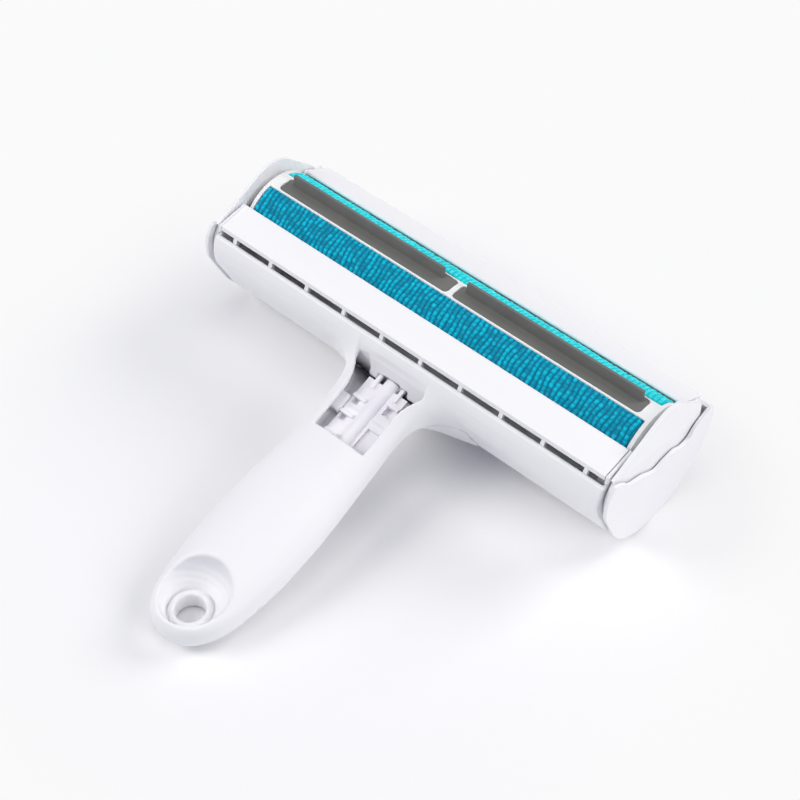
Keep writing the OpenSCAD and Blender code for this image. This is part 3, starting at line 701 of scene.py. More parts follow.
@dataclass(frozen=True)
class HeadFrame:
    """Place and section of the head, in millimetres, as in the part's source."""

    tilt: float = 11.0
    panel_w: float = 62.5
    lip_l: float = 181.3
    shoulder_r: float = 16.5
    shoulder_drop: float = 9.0
    shoulder_out: float = 1.8
    belly_r: float = 30.5
    belly_y: float = 3.5
    belly_drop: float = 13.5
    wall: float = 2.0
    lid_t: float = 1.8
    lip_edge: float = 0.5
    gap_h: float = 1.5
    front_gap: float = 4.1
    flange_gap: float = 0.25
    flange_t: float = 1.3
    seam_a: float = 230.0
    handle_l: float = 155.5
    drum_drop: float = 7.6

    @property
    def wall_top(self) -> float:
        """Height of the walls' edge under the gap."""
        return self.lip_edge - self.gap_h

    @property
    def front_top(self) -> float:
        """Height of the front wall's edge under the near lip's skirt."""
        return self.lip_edge - self.front_gap

    @property
    def flange_x(self) -> tuple[float, float]:
        """Inner and outer face of an end flange."""
        inner = self.lip_l / 2 + self.flange_gap
        return inner, inner + self.flange_t

    @property
    def slope(self) -> tuple[float, float]:
        """Cosine and sine of the head's tilt."""
        tilt = math.radians(self.tilt)
        return math.cos(tilt), math.sin(tilt)

    @property
    def z(self) -> float:
        """Height of the head's frame over the table."""
        cos, sin = self.slope
        return self.belly_r + sin * self.belly_y + cos * self.belly_drop

    @property
    def y(self) -> float:
        """Place of the head's frame along Y.

        Returns:
            Millimetres from the middle of the part's box.
        """
        cos, sin = self.slope
        far = self.belly_r + cos * self.belly_y - sin * self.belly_drop
        return (self.handle_l - far) / 2

    def inward(self, y: Array, z: Array) -> tuple[Array, Array]:
        """Turns heights over the table into the head's own frame.

        Args:
            y: Y from the middle of the head.
            z: Height over the table.

        Returns:
            Y and Z in the head's frame.
        """
        cos, sin = self.slope
        return cos * y - sin * (z - self.z), sin * y + cos * (z - self.z)

    def outward(self, y: Array, z: Array) -> tuple[Array, Array]:
        """Turns the head's own frame into the part's frame.

        Args:
            y: Y in the head's frame.
            z: Z in the head's frame.

        Returns:
            Y and Z in the part's frame.
        """
        cos, sin = self.slope
        return cos * y + sin * z + self.y, -sin * y + cos * z + self.z

    def skin(self, y: Array, z: Array) -> Array:
        """Gives the distance to the head's outline: the near shoulder and the belly with their tangents.

        Args:
            y: Y in the head's frame.
            z: Z in the head's frame.

        Returns:
            Distance to the outline.
        """
        shoulder_y = -(self.panel_w / 2 + self.shoulder_out - self.shoulder_r)
        dy, dz = shoulder_y - self.belly_y, self.belly_drop - self.shoulder_drop
        span = math.hypot(dy, dz)
        uy, uz = dy / span, dz / span
        py, pz = y - self.belly_y, z + self.belly_drop
        along, across = py * uy + pz * uz, abs(py * uz - pz * uy)
        lean = (self.belly_r - self.shoulder_r) / span
        rise = math.sqrt(1 - lean * lean)
        foot = rise * along - lean * across
        middle = across * rise + along * lean - self.belly_r
        near = np.hypot(across, along - span) - self.shoulder_r
        far = np.hypot(across, along) - self.belly_r
        return np.where(foot < 0, far, np.where(foot > rise * span, near, middle))

    def past_seam(self, y: Array, z: Array) -> Array:
        """Gives the distance past the line between the front wall and the bin.

        Args:
            y: Y in the head's frame.
            z: Z in the head's frame.

        Returns:
            Distance, negative on the front wall's side.
        """
        angle = math.radians(self.seam_a)
        return -(y - self.belly_y) * math.sin(angle) + (z + self.belly_drop) * math.cos(angle)


@dataclass(frozen=True)
class HandleForm:
    """The handle's skin: stations along it, as in the part's source, in millimetres."""

    head: HeadFrame
    grip_half: float = 19.8
    grip_thick: float = 9.2
    neck_half: float = 17.0
    neck_thick: float = 7.6
    power: float = 2.4
    foot_sink: float = 0.25
    tip_step: float = 0.5
    steps: int = 12
    end_round: float = 2.5
    base_round: float = 1.2

    @property
    def tip_thick(self) -> float:
        """Half thickness near the handle's end."""
        return self.grip_thick - self.tip_step

    def stations(self) -> list[tuple[float, float, float, float]]:
        """Lists the handle's stations, from the head to its end.

        Returns:
            Distance from the head, height of the centre, half width and half thickness of each.
        """
        end, half, thick = self.head.handle_l, self.grip_half, self.grip_thick
        tip = self.tip_thick
        rest = tip - self.foot_sink
        return [
            (26, 25.8, 29, 15.6),
            (33, 28.0, 22.6, 12.6),
            (40, 30.0, 18.8, 10.0),
            (50, 27.9, self.neck_half, self.neck_thick),
            (65, 23.2, self.neck_half + 0.3, self.neck_thick - 0.2),
            (83, 19.2, half - 1, thick - 1),
            (end - 57, 16.2, half, thick - 0.3),
            (end - 39, 12.4, half - 0.2, thick),
            (end - 24, 9.5, half - 1.8, thick - 0.2),
            (end - 14, rest, half - 4, tip),
            (end - 7, rest, half - 7.4, tip - 0.7),
            (end - 2.6, rest, half - 11.6, tip - 2.4),
            (end, rest, half - 17, tip - 5.4),
        ]

    def curve(self) -> Array:
        """Joins the stations by one smooth curve.

        Returns:
            Closely spaced rows, each like a station.
        """
        rows = np.array(self.stations())
        padded = np.vstack([rows[0], rows, rows[-1]])
        t = np.linspace(0, 1, self.steps, endpoint=False)[:, None]
        parts = []
        for i in range(1, len(rows)):
            p0, p1, p2, p3 = padded[i - 1 : i + 3]
            linear = (p2 - p0) * t
            square = (2 * p0 - 5 * p1 + 4 * p2 - p3) * t**2
            cubic = (3 * p1 - p0 - 3 * p2 + p3) * t**3
            parts.append(0.5 * (2 * p1 + linear + square + cubic))
        return np.vstack([*parts, rows[-1:]])

    def distance(self, lattice: Lattice) -> Array:
        """Gives the near distance to the handle's skin.

        Args:
            lattice: Grid in the handle's frame: Y from the middle of the head, Z over the table.

        Returns:
            Distance on the grid.
        """
        x, y, z = lattice.points()
        curve = self.curve()
        centre, half, thick = (np.interp(-y, curve[:, 0], curve[:, c]) for c in (1, 2, 3))
        oval = (abs(x / half) ** self.power + abs((z - centre) / thick) ** self.power) ** (1 / self.power)
        skin = lattice.normalised((oval - 1) * np.minimum(half, thick))
        skin = smooth_max(skin, -y - self.head.handle_l, self.end_round)
        return smooth_max(skin, -z, self.base_round)


@dataclass(frozen=True)
class Rounds:
    """Sizes of the roundings on the handle's shells, in millimetres."""

    neck: float = 9.0
    base: float = 1.0
    ends: float = 0.8
    inside: float = 0.5
    seam: float = 0.6
    parting: float = 0.4
    window: float = 1.1
    sill: float = 1.2
    dish: float = 1.4
    dish_floor: float = 1.6
    hole: float = 0.9


@dataclass
class HandleShells:
    """The two shells of the handle, the upper one in one piece with the head's front wall.

    The handle's frame has its Y from the middle of the head and its Z over the table. The neck's frame
    lies on the lever's pin, with its Y up the slope.
    """

    head: HeadFrame = field(default_factory=HeadFrame)
    rounds: Rounds = field(default_factory=Rounds)
    # The grid: spacing at the handle, between it and the head's ends, and at the ends
    grid: float = 0.62
    grid_side: float = 5.5
    grid_end: float = 0.45
    handle_x: float = 44.0
    end_x: float = 88.0
    end_margin: float = 0.8
    margin: float = 1.2
    near_y: float = -19.0
    top_z: float = 52.0
    # The two shells' parting line and the solid end of the handle
    parting_y: tuple[float, float] = (-60.0, 49.0)
    parting_z: tuple[float, float] = (31.5, 26.0)
    parting_rise: float = 0.4
    cap_length: float = 28.5
    cavity_stop: float = 33.0
    shell_gap: float = 0.15
    wall_overlap: float = 0.7
    # The hanging hole with its raised ring, in a dish with faint rings
    hole_end: float = 13.6
    hole_r: float = 5.6
    ring: float = 2.2
    ring_drop: float = 0.3
    ring_rise: float = 1.8
    dish_half: float = 13.1
    dish_long: float = 13.2
    dish_shift: float = 2.9
    cone_gap: float = 0.7
    cone_lean: float = 0.26
    ripple: float = 0.08
    ripple_pitch: float = 1.7
    # The neck's window, which flares towards the head
    neck_slope: float = 17.0
    pin_y: float = 50.0
    pin_z: float = 26.2
    window_half: float = 11.5
    window_floor: float = 3.6
    window_end: float = 65.0
    window_step: float = 1.3
    window_wall: float = 0.25
    flare: float = 4.5
    flare_start: float = 4.0
    flare_run: float = 12.0
    # The bosses that hold the lever's pin
    pin_boss_x: tuple[float, float] = (9.5, 30.0)
    pin_boss_half: float = 4.0
    pin_boss_foot: float = -3.2
    seat: float = 0.05
    # The sill at the window's upper end, and its slots: low X, high X and top
    sill_foot: float = 14.6
    sill_base: float = 0.9
    sill_lean: float = 29.0
    sill_middle: float = 4.6
    sill_half: float = 3.9
    sill_sink: float = 0.6
    sill_x: tuple[float, float] = (-10.5, 16.5)
    sill_slots: tuple[Point, ...] = ((-6.4, -3.2, 3.4), (-3.8, 3.8, 4.1), (4.4, 7.7, 3.4))
    slot_y: tuple[float, float] = (10.0, 17.4)
    slot_floor: float = -3.0
    # The lower shell: screw posts and wells, the pad's opening and the tongue's notch
    screw_stations: tuple[float, float] = (79.0, 111.5)
    post_r: float = 4.4
    well_r: float = 3.0
    well_drop: float = 4.4
    shank_r: float = 1.5
    pad_low: Point = (-7.8, -18.8, -12.0)
    pad_high: Point = (7.8, -4.6, 6.0)
    notch_half: float = 6.8
    notch_reach: float = 2.6
    notch_top: float = 19.5

    def __post_init__(self) -> None:
        """Makes the handle's form and the grid."""
        self.form = HandleForm(self.head)
        end = self.head.flange_x[1] + self.end_margin
        side = stretches((self.handle_x, self.end_x, self.grid_side), (self.end_x, end, self.grid_end))
        middle = stretches((-self.handle_x, self.handle_x, self.grid))
        self.lattice = Lattice(
            np.unique(np.concatenate([-side, middle, side])),
            stretches((-self.head.handle_l - self.margin, self.near_y, self.grid)),
            stretches((-self.margin, self.top_z, self.grid)),
        )

    def neck(self, y: Array, z: Array) -> tuple[Array, Array]:
        """Turns the handle's frame into the neck's frame.

        Args:
            y: Y in the handle's frame.
            z: Z in the handle's frame.

        Returns:
            Y and Z in the neck's frame.
        """
        slope = math.radians(self.neck_slope)
        cos, sin = math.cos(slope), math.sin(slope)
        dy, dz = y + self.pin_y, z - self.pin_z
        return cos * dy + sin * dz, -sin * dy + cos * dz

    def parting(self, y: Array) -> Array:
        """Gives the height of the line between the two shells.

        Args:
            y: Y in the handle's frame.

        Returns:
            Heights of the same shape.
        """
        places = [*self.parting_y, self.head.handle_l - self.cap_length]
        return np.interp(-y, places, [*self.parting_z, self.form.tip_thick + self.parting_rise])

    def dish(self, x: Array, y: Array, z: Array) -> Array:
        """Gives the distance to the scoop round the hanging hole, with its faint rings and raised ring.

        Args:
            x: X of the points.
            y: Y in the handle's frame.
            z: Z in the handle's frame.

        Returns:
            Distance to the cut.
        """
        hole_y = -(self.head.handle_l - self.hole_end)
        ring_top = self.form.tip_thick - self.ring_drop
        rim = 2 * self.form.tip_thick
        floor = ring_top - self.ring_rise
        depth = rim - floor
        radius = np.hypot(x, y - hole_y)
        across = np.hypot(x / self.dish_half, (y - hole_y - self.dish_shift) / self.dish_long)
        scoop = (np.hypot(across, (z - rim) / depth) - 1) * depth
        boss_r = radius - self.hole_r - self.ring
        cone = (boss_r - self.cone_gap - self.cone_lean * (z - floor)) / np.hypot(1, self.cone_lean)
        cone = np.maximum(cone, floor - z)
        rings = self.ripple * np.sin(2 * math.pi * radius / self.ripple_pitch)
        boss = np.maximum(boss_r, z - ring_top)
        cut = smooth_min(scoop, cone, self.rounds.dish_floor) + rings
        return smooth_max(cut, -boss, self.rounds.inside)

    def window(self, x: Array, ny: Array, nz: Array, skin: Array) -> Array:
        """Gives the distance to the neck's window.

        Args:
            x: X of the points.
            ny: Y in the neck's frame.
            nz: Z in the neck's frame.
            skin: Distance to the head's outline.

        Returns:
            Distance to the cut.
        """
        reach = (self.pin_y - self.window_end) * math.cos(math.radians(self.neck_slope))
        low = reach + self.window_step
        flare = self.flare * np.clip((ny - self.flare_start) / self.flare_run, 0, 1) ** 2
        sides = abs(x) - self.window_half - flare
        cut = np.maximum(np.maximum(sides, low - ny), self.window_floor - nz)
        return np.maximum(cut, self.window_wall - skin)

    def sill(self, x: Array, ny: Array, nz: Array, skin: Array) -> Array:
        """Gives the sloped sill between the front wall and the lever, with slots for the lever's fins.

        Args:
            x: X of the points.
            ny: Y in the neck's frame.
            nz: Z in the neck's frame.
            skin: Distance to the head's outline.

        Returns:
            Distance to the sill.
        """
        lean = math.radians(self.sill_lean)
        slope = (self.sill_foot - ny) * math.cos(lean) + (nz - self.sill_base) * math.sin(lean)
        height = abs(nz - self.sill_middle) - self.sill_half
        ends = np.maximum(self.sill_x[0] - x, x - self.sill_x[1])
        sill = np.maximum(np.maximum(slope, height), np.maximum(-skin - self.sill_sink, ends))
        for low, high, top in self.sill_slots:
            slot = box_distance(
                x, ny, nz, (low, self.slot_y[0], self.slot_floor), (high, self.slot_y[1], top)
            )
            sill = np.maximum(sill, -slot)
        return sill

    def solid(self) -> Fields:
        """Works out the fields that both shells share.

        Returns:
            Coordinates in the handle's and the head's frame, and the distances to the head's outline,
            the outer skin, the hollow and the hanging hole.
        """
        x, y, z = self.lattice.points()
        py, pz = self.head.inward(y, z)
        skin = np.broadcast_to(self.head.skin(py, pz), self.lattice.shape())
        outer = smooth_min(self.form.distance(self.lattice), skin, self.rounds.neck)
        outer = smooth_max(outer, -z, self.rounds.base)
        outer = smooth_max(outer, abs(x) - self.head.flange_x[1], self.rounds.ends)
        cavity_end = self.head.handle_l - self.cavity_stop
        hollow = np.maximum(np.maximum(outer + self.head.wall, -skin), -y - cavity_end)
        hollow = np.minimum(hollow, skin + self.head.wall)
        hole = np.hypot(x, y + self.head.handle_l - self.hole_end) - self.hole_r
        places = {"x": x, "y": y, "z": z, "py": py, "pz": pz}
        return {**places, "skin": skin, "outer": outer, "hollow": hollow, "hole": hole}

    def front(self, f: Fields) -> Array:
        """Works out the upper shell with the front wall, the window, the dish and the pin's bosses.

        Args:
            f: The shared fields.

        Returns:
            Distance to the shell.
        """
        x, y, z, skin = f["x"], f["y"], f["z"], f["skin"]
        ny, nz = self.neck(y, z)
        inner, outer = self.pin_boss_x
        half = self.pin_boss_half
        boss_top = self.window_floor - self.seat
        boss = box_distance(
            abs(x), ny, nz, (inner, -half, self.pin_boss_foot), (outer, half, boss_top)
        )
        hollow = np.maximum(f["hollow"], -np.where(skin > 0, boss, AWAY))
        shell = smooth_max(f["outer"], -hollow, self.rounds.inside)
        past_seam = self.head.past_seam(f["py"], f["pz"])
        edge = smooth_max(f["pz"] - self.head.front_top, past_seam, self.rounds.seam)
        upper = np.minimum(self.parting(y) - z, y + self.head.handle_l - self.cap_length)
        handle_side = np.maximum(upper, -skin - self.wall_overlap)
        shell = smooth_max(shell, np.maximum(np.minimum(skin, handle_side), edge), self.rounds.seam)
        shell = smooth_max(shell, -self.window(x, ny, nz, skin), self.rounds.window)
        shell = smooth_min(shell, self.sill(x, ny, nz, skin), self.rounds.sill)
        shell = smooth_max(shell, -self.dish(x, y, z), self.rounds.dish)
        return smooth_max(shell, -f["hole"], self.rounds.hole)

    def back(self, f: Fields) -> Array:
        """Works out the lower shell with the pad's opening, the tongue's notch and the screws' wells.

        Args:
            f: The shared fields.

        Returns:
            Distance to the shell.
        """
        x, y, z = f["x"], f["y"], f["z"]
        ny, nz = self.neck(y, z)
        hollow = f["hollow"]
        for station in self.screw_stations:
            hollow = np.maximum(hollow, self.post_r - np.hypot(x, y + station))
        shell = smooth_max(f["outer"], -hollow, self.rounds.inside)
        below = z - self.parting(y) + self.shell_gap
        shell = smooth_max(shell, below, self.rounds.parting)
        shell = np.maximum(shell, self.shell_gap - f["skin"])
        before_cap = -y - (self.head.handle_l - self.cap_length) + self.shell_gap
        shell = smooth_max(shell, before_cap, self.rounds.parting)
        pad = box_distance(x, ny, nz, self.pad_low, self.pad_high)
        shell = smooth_max(shell, -pad, self.rounds.seam)
        for station in self.screw_stations:
            radius = np.hypot(x, y + station)
            top = float(self.parting(np.array([-station]))[0]) - self.well_drop
            shell = smooth_max(shell, -np.maximum(radius - self.well_r, z - top), self.rounds.inside)
            shell = np.maximum(shell, self.shank_r - radius)
        notch = np.maximum(abs(x) - self.notch_half, f["skin"] - self.notch_reach)
        notch = np.maximum(notch, z - self.notch_top)
        return smooth_max(shell, -notch, self.rounds.parting)

    def build(self, plastic: bpy.types.Material) -> None:
        """Meshes both shells.

        Args:
            plastic: Material of the shells.
        """
        fields = self.solid()
        for name, node, work in (
            ("handle_front_shell", "handle_body", self.front),
            ("handle_back_shell", "handle_back", self.back),
        ):
            vertices, faces = self.lattice.surface(work(fields))
            vertices[:, 1] += self.head.y
            piece = make_piece(name, vertices, faces, "frame", plastic)
            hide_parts(node)


@dataclass
class EndFrames:
    """The two flanges that carry the drum, with bosses for the covers, rests for the lips and stops."""

    head: HeadFrame = field(default_factory=HeadFrame)
    grid_x: float = 0.27
    grid_boss: float = 0.8
    grid: float = 0.55
    margin_inside: float = 0.6
    margin_outside: float = 1.6
    y_range: tuple[float, float] = (-35.0, 34.0)
    z_range: tuple[float, float] = (-40.0, 6.5)
    edge_round: float = 0.5
    # The flange: clear of the bin below, closed to the front wall, with a rest under each lip
    outline: tuple[tuple[float, float], ...] = ((-62, -40), (-20, -40), (26, -16), (62, -6))
    outline_half: float = 62.0
    bin_gap: float = 0.8
    lip_inset: float = 0.85
    window_half: float = 17.0
    lip_rise: float = 4.2
    lip_under: float = 0.1
    rest_step: float = 1.4
    rest_drop: float = 2.0
    rest_end: float = 3.0
    rest_top: float = 1.2
    # Bores: the drum's stud in the middle, and a tube for each screw of the cover
    stud_r: float = 3.0
    run: float = 0.05
    boss: tuple[float, float] = (23.5, -9.0)
    boss_r: float = 2.7
    boss_bore: float = 1.25
    boss_inside: float = 5.0
    boss_outside: float = 0.75
    # The drum's stops: distance from its axis, angle from the downward line, radius and length
    stop_reach: float = 9.5
    stop_angle: float = 39.5
    stop_r: float = 1.5
    stop_length: float = 2.3

    def profile(self, y: Array, z: Array) -> Array:
        """Gives the distance to a flange's outline, with its bores.

        Args:
            y: Y in the head's frame.
            z: Z in the head's frame.

        Returns:
            Distance to the outline.
        """
        head, top, half = self.head, self.head.wall_top, self.window_half
        skin = head.skin(y, z)
        lower = polygon_distance(
            y, z, [(-self.outline_half, top), *self.outline, (self.outline_half, top)]
        )
        plate = np.maximum(lower, skin + head.lid_t + self.bin_gap)
        wall = np.maximum(np.maximum(skin + head.wall / 2, z - head.front_top), head.past_seam(y, z))
        near, far = head.panel_w / 2 - self.lip_inset, head.panel_w / 2 - self.lip_inset - self.rest_end
        under = head.lip_edge - self.lip_under + self.lip_rise
        rests = polygon_distance(
            y,
            z,
            [
                (-near, top - self.rest_drop),
                (-near, head.lip_edge),
                (-half, under),
                (-half + self.rest_step, head.lip_edge),
                (half - self.rest_step, head.lip_edge),
                (half, under),
                (far, self.rest_top),
                (far, top - self.rest_drop),
            ],
        )
        shape = np.minimum(np.minimum(plate, rests), wall)
        shape = np.maximum(shape, self.stud_r + self.run - np.hypot(y, z + head.drum_drop))
        for sign in (-1, 1):
            shape = np.maximum(shape, self.boss_bore - self.boss_radius(y, z, sign))
        return shape

    def boss_radius(self, y: Array, z: Array, sign: int) -> Array:
        """Gives the distance from a boss's axis, in the head's frame, for the near (-1) or far (1) boss."""
        return np.hypot(y - sign * self.boss[0], z - self.boss[1])

    def build(self, side: Side, plastic: bpy.types.Material) -> None:
        """Meshes one end frame.

        Args:
            side: End of the head that it stands at.
            plastic: Its material.
        """
        head = self.head
        inner, outer = head.flange_x
        boss_start = inner - self.boss_inside
        lattice = Lattice(
            stretches(
                (boss_start - self.margin_inside, inner - self.margin_inside, self.grid_boss),
                (inner - self.margin_inside, outer + self.margin_outside, self.grid_x),
            ),
            stretches((*self.y_range, self.grid)),
            stretches((*self.z_range, self.grid)),
        )
        x, y, z = lattice.points()
        shape = smooth_max(self.profile(y, z), np.maximum(inner - x, x - outer), self.edge_round)
        for sign in (-1, 1):
            radius = self.boss_radius(y, z, sign)
            ring = np.maximum(radius - self.boss_r, self.boss_bore - radius)
            tube = np.maximum(ring, np.maximum(boss_start - x, x - outer - self.boss_outside))
            turn = math.radians(DOWN + sign * self.stop_angle)
            stop_y = self.stop_reach * math.cos(turn)
            stop_z = self.stop_reach * math.sin(turn)
            post = np.hypot(y - stop_y, z + head.drum_drop - stop_z) - self.stop_r
            post = np.maximum(post, np.maximum(inner - self.stop_length - x, x - outer))
            shape = np.minimum(np.minimum(shape, tube), post)
        vertices, faces = lattice.surface(shape)
        vertices[:, 0] *= side.value
        if side is Side.LEFT:
            faces = faces[:, ::-1]
        vertices[:, 1], vertices[:, 2] = head.outward(vertices[:, 1], vertices[:, 2])
        piece = make_piece(f"end_frame_{side.name.lower()}", vertices, faces, "frame", plastic)
        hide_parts("handle_body")


@dataclass
class PileStrip:
    """One strip of short pile, in cross ridges of small tufts, on its curved band.

    The strip runs from the start to the end angle, in degrees from the drum's crest, and the drum is
    turned towards the near lip. Each tuft has its own level, and single fibres stand out of it. The other
    sizes are in millimetres, the heights of the pile in shares of it.
    """

    head: HeadFrame = field(default_factory=HeadFrame)
    turn: float = 5.5
    start: float = 15.5
    end: float = 62.0
    length: float = 177.2
    base: float = 18.25
    base_sink: float = 0.04
    pile: float = 0.95
    pile_least: float = 0.35
    ridge: float = 2.1
    ridge_round: float = 0.8
    tuft: float = 1.8
    tuft_round: float = 0.7
    tuft_shift: float = 0.25
    corner: float = 2.6
    shoulder: float = 0.5
    grid_along: float = 0.19
    grid_across: float = 0.26
    seed: int = 7
    tuft_share: float = 0.4
    tuft_table: tuple[int, int] = (400, 60)
    tuft_least: float = 0.45
    fibre: float = 0.12
    height_least: float = 0.08

    def heights(self, u: Array, v: Array, seed: int) -> Array:
        """Gives the pile's height, from 0 at the roots to 1 at the tips.

        Args:
            u: Place along the strip, in millimetres.
            v: Place across it, in millimetres.
            seed: Seed of the uneven tufts.

        Returns:
            Heights of the same shape.
        """
        rng = np.random.default_rng(seed)
        # Slow waves, so that the ridges wander a little
        drift = 0.3 * np.sin(u / 7.1 + v / 3.3)
        drift += 0.2 * np.sin(u / 2.9 - v / 1.7)
        drift += 0.08 * np.sin(u * 1.3 + v * 2.1)
        phase = (u + drift) / self.ridge
        row = np.floor(phase).astype(int)
        stagger = (row % 2) * 0.5
        ridge = np.sin(math.pi * (phase - row)) ** self.ridge_round
        along = v / self.tuft + stagger + self.tuft_shift * np.sin(row * 1.7)
        spot = np.floor(along).astype(int)
        tuft = np.sin(math.pi * (along - spot)) ** self.tuft_round
        rows, spots = self.tuft_table
        table = rng.uniform(self.tuft_least, 1.0, self.tuft_table)
        level = table[row % rows, spot % spots]
        fibre = rng.uniform(-self.fibre, self.fibre, u.shape)
        share = 1 - self.tuft_share + self.tuft_share * tuft
        return np.clip(ridge * share * level + fibre + self.height_least, 0, 1)

    def build(self, row: Row, material: bpy.types.Material) -> None:
        """Meshes one strip as a closed band with its pile on top.

        Args:
            row: Side of the drum's crest that it lies on.
            material: Its material.
        """
        top_r = self.base + self.pile
        arc = math.radians(self.end - self.start) * top_r
        us = stretches((-self.length / 2, self.length / 2, self.grid_along))
        vs = stretches((0, arc, self.grid_across))
        u, v = np.meshgrid(us, vs, indexing="ij")
        height = self.heights(u, v, self.seed + row.value)
        du, dv = self.length / 2 - abs(u), np.minimum(v, arc - v)
        cut = np.hypot(np.clip(self.corner - du, 0, None), np.clip(self.corner - v, 0, None))
        rim = np.minimum(np.minimum(du, dv), self.corner - cut)
        shoulder = np.clip(rim / self.shoulder, 0, 1) ** 0.5
        lift = shoulder * (self.pile_least + (1 - self.pile_least) * height) * self.pile
        crest = math.pi / 2 + math.radians(self.turn)
        angle = crest - row.value * (math.radians(self.start) + v / top_r)
        top = self.place(u, angle, self.base + lift)
        under = self.place(u, angle, np.full_like(lift, self.base - self.base_sink))
        faces = self.closed(len(us), len(vs))
        if row is Row.FAR:
            faces = faces[:, ::-1]
        name = f"pile_{row.name.lower()}"
        piece = make_piece(name, np.concatenate([top, under]), faces, "drum", material)
        # The height sets the colour too: painted shade low in the pile and at the tapered rims, a painted
        # highlight on the tops
        mask = piece.data.attributes.new(PILE_HEIGHT, "FLOAT", "POINT")
        values = np.concatenate([height.ravel() * shoulder.ravel(), np.zeros(u.size)])
        mask.data.foreach_set("value", values)
        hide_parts(f"pile_strip_{row.name.lower()}")

    def place(self, u: Array, angle: Array, radius: Array) -> Array:
        """Puts points of the strip into the part's frame.

        Args:
            u: Place along the strip.
            angle: Angle round the drum's axis.
            radius: Distance from the axis.

        Returns:
            One row of coordinates for each point.
        """
        y, z = radius * np.cos(angle), radius * np.sin(angle) - self.head.drum_drop
        py, pz = self.head.outward(y, z)
        return np.stack([u.ravel(), py.ravel(), pz.ravel()], 1)

    def closed(self, n: int, m: int) -> Array:
        """Gives the quads of a slab with its rims closed.

        Args:
            n: Number of its points along the strip.
            m: Number of its points across the strip.

        Returns:
            Quads of the top, the underside and the rims.
        """
        index = np.arange(n * m).reshape(n, m)
        corners = [index[:-1, :-1], index[1:, :-1], index[1:, 1:], index[:-1, 1:]]
        top = np.stack(corners, -1).reshape(-1, 4)
        under = top[:, ::-1] + n * m
        rim = np.concatenate([index[:-1, 0], index[-1, :-1], index[:0:-1, -1], index[0, :0:-1]])
        after = np.roll(rim, -1)
        sides = np.stack([after, rim, rim + n * m, after + n * m], 1)
        return np.concatenate([top, under, sides])[:, ::-1]


@dataclass
class CadDress:
    """The parts that keep their CAD shape: rounded edges and their finishes."""

    nodes: dict[str, bpy.types.Object]
    round_edges: dict[str, float] = field(default_factory=dict)
    edge_width: float = 0.2
    edge_angle: float = 32.0
    weld_reach: float = 0.002

    def dress(self, name: str, material: bpy.types.Material) -> None:
        """Gives one CAD node its finish and its rounded edges.

        Args:
            name: Name of the node.
            material: Its material.
        """
        node = self.nodes[name]
        node.data.materials.clear()
        node.data.materials.append(material)
        node.data.polygons.foreach_set("use_smooth", np.ones(len(node.data.polygons), bool))
        width = self.round_edges.get(name, self.edge_width)
        weld = node.modifiers.new("weld", "WELD")
        weld.merge_threshold = self.weld_reach * MM
        bevel = node.modifiers.new("rounded_edges", "BEVEL")
        bevel.width = width * MM
        bevel.segments = 2
        bevel.limit_method = "ANGLE"
        bevel.angle_limit = math.radians(self.edge_angle)
        bevel.harden_normals = True
        even = node.modifiers.new("even_faces", "WEIGHTED_NORMAL")
        even.keep_sharp = True
        LOG.info("%s keeps its CAD shape, edges rounded to %.2f mm", name, width)


@dataclass(frozen=True)
class Softbox:
    """A soft lamp: its direction in degrees, from +X towards +Y and over the floor, and its watts."""

    name: str
    azimuth: float
    elevation: float
    power: float


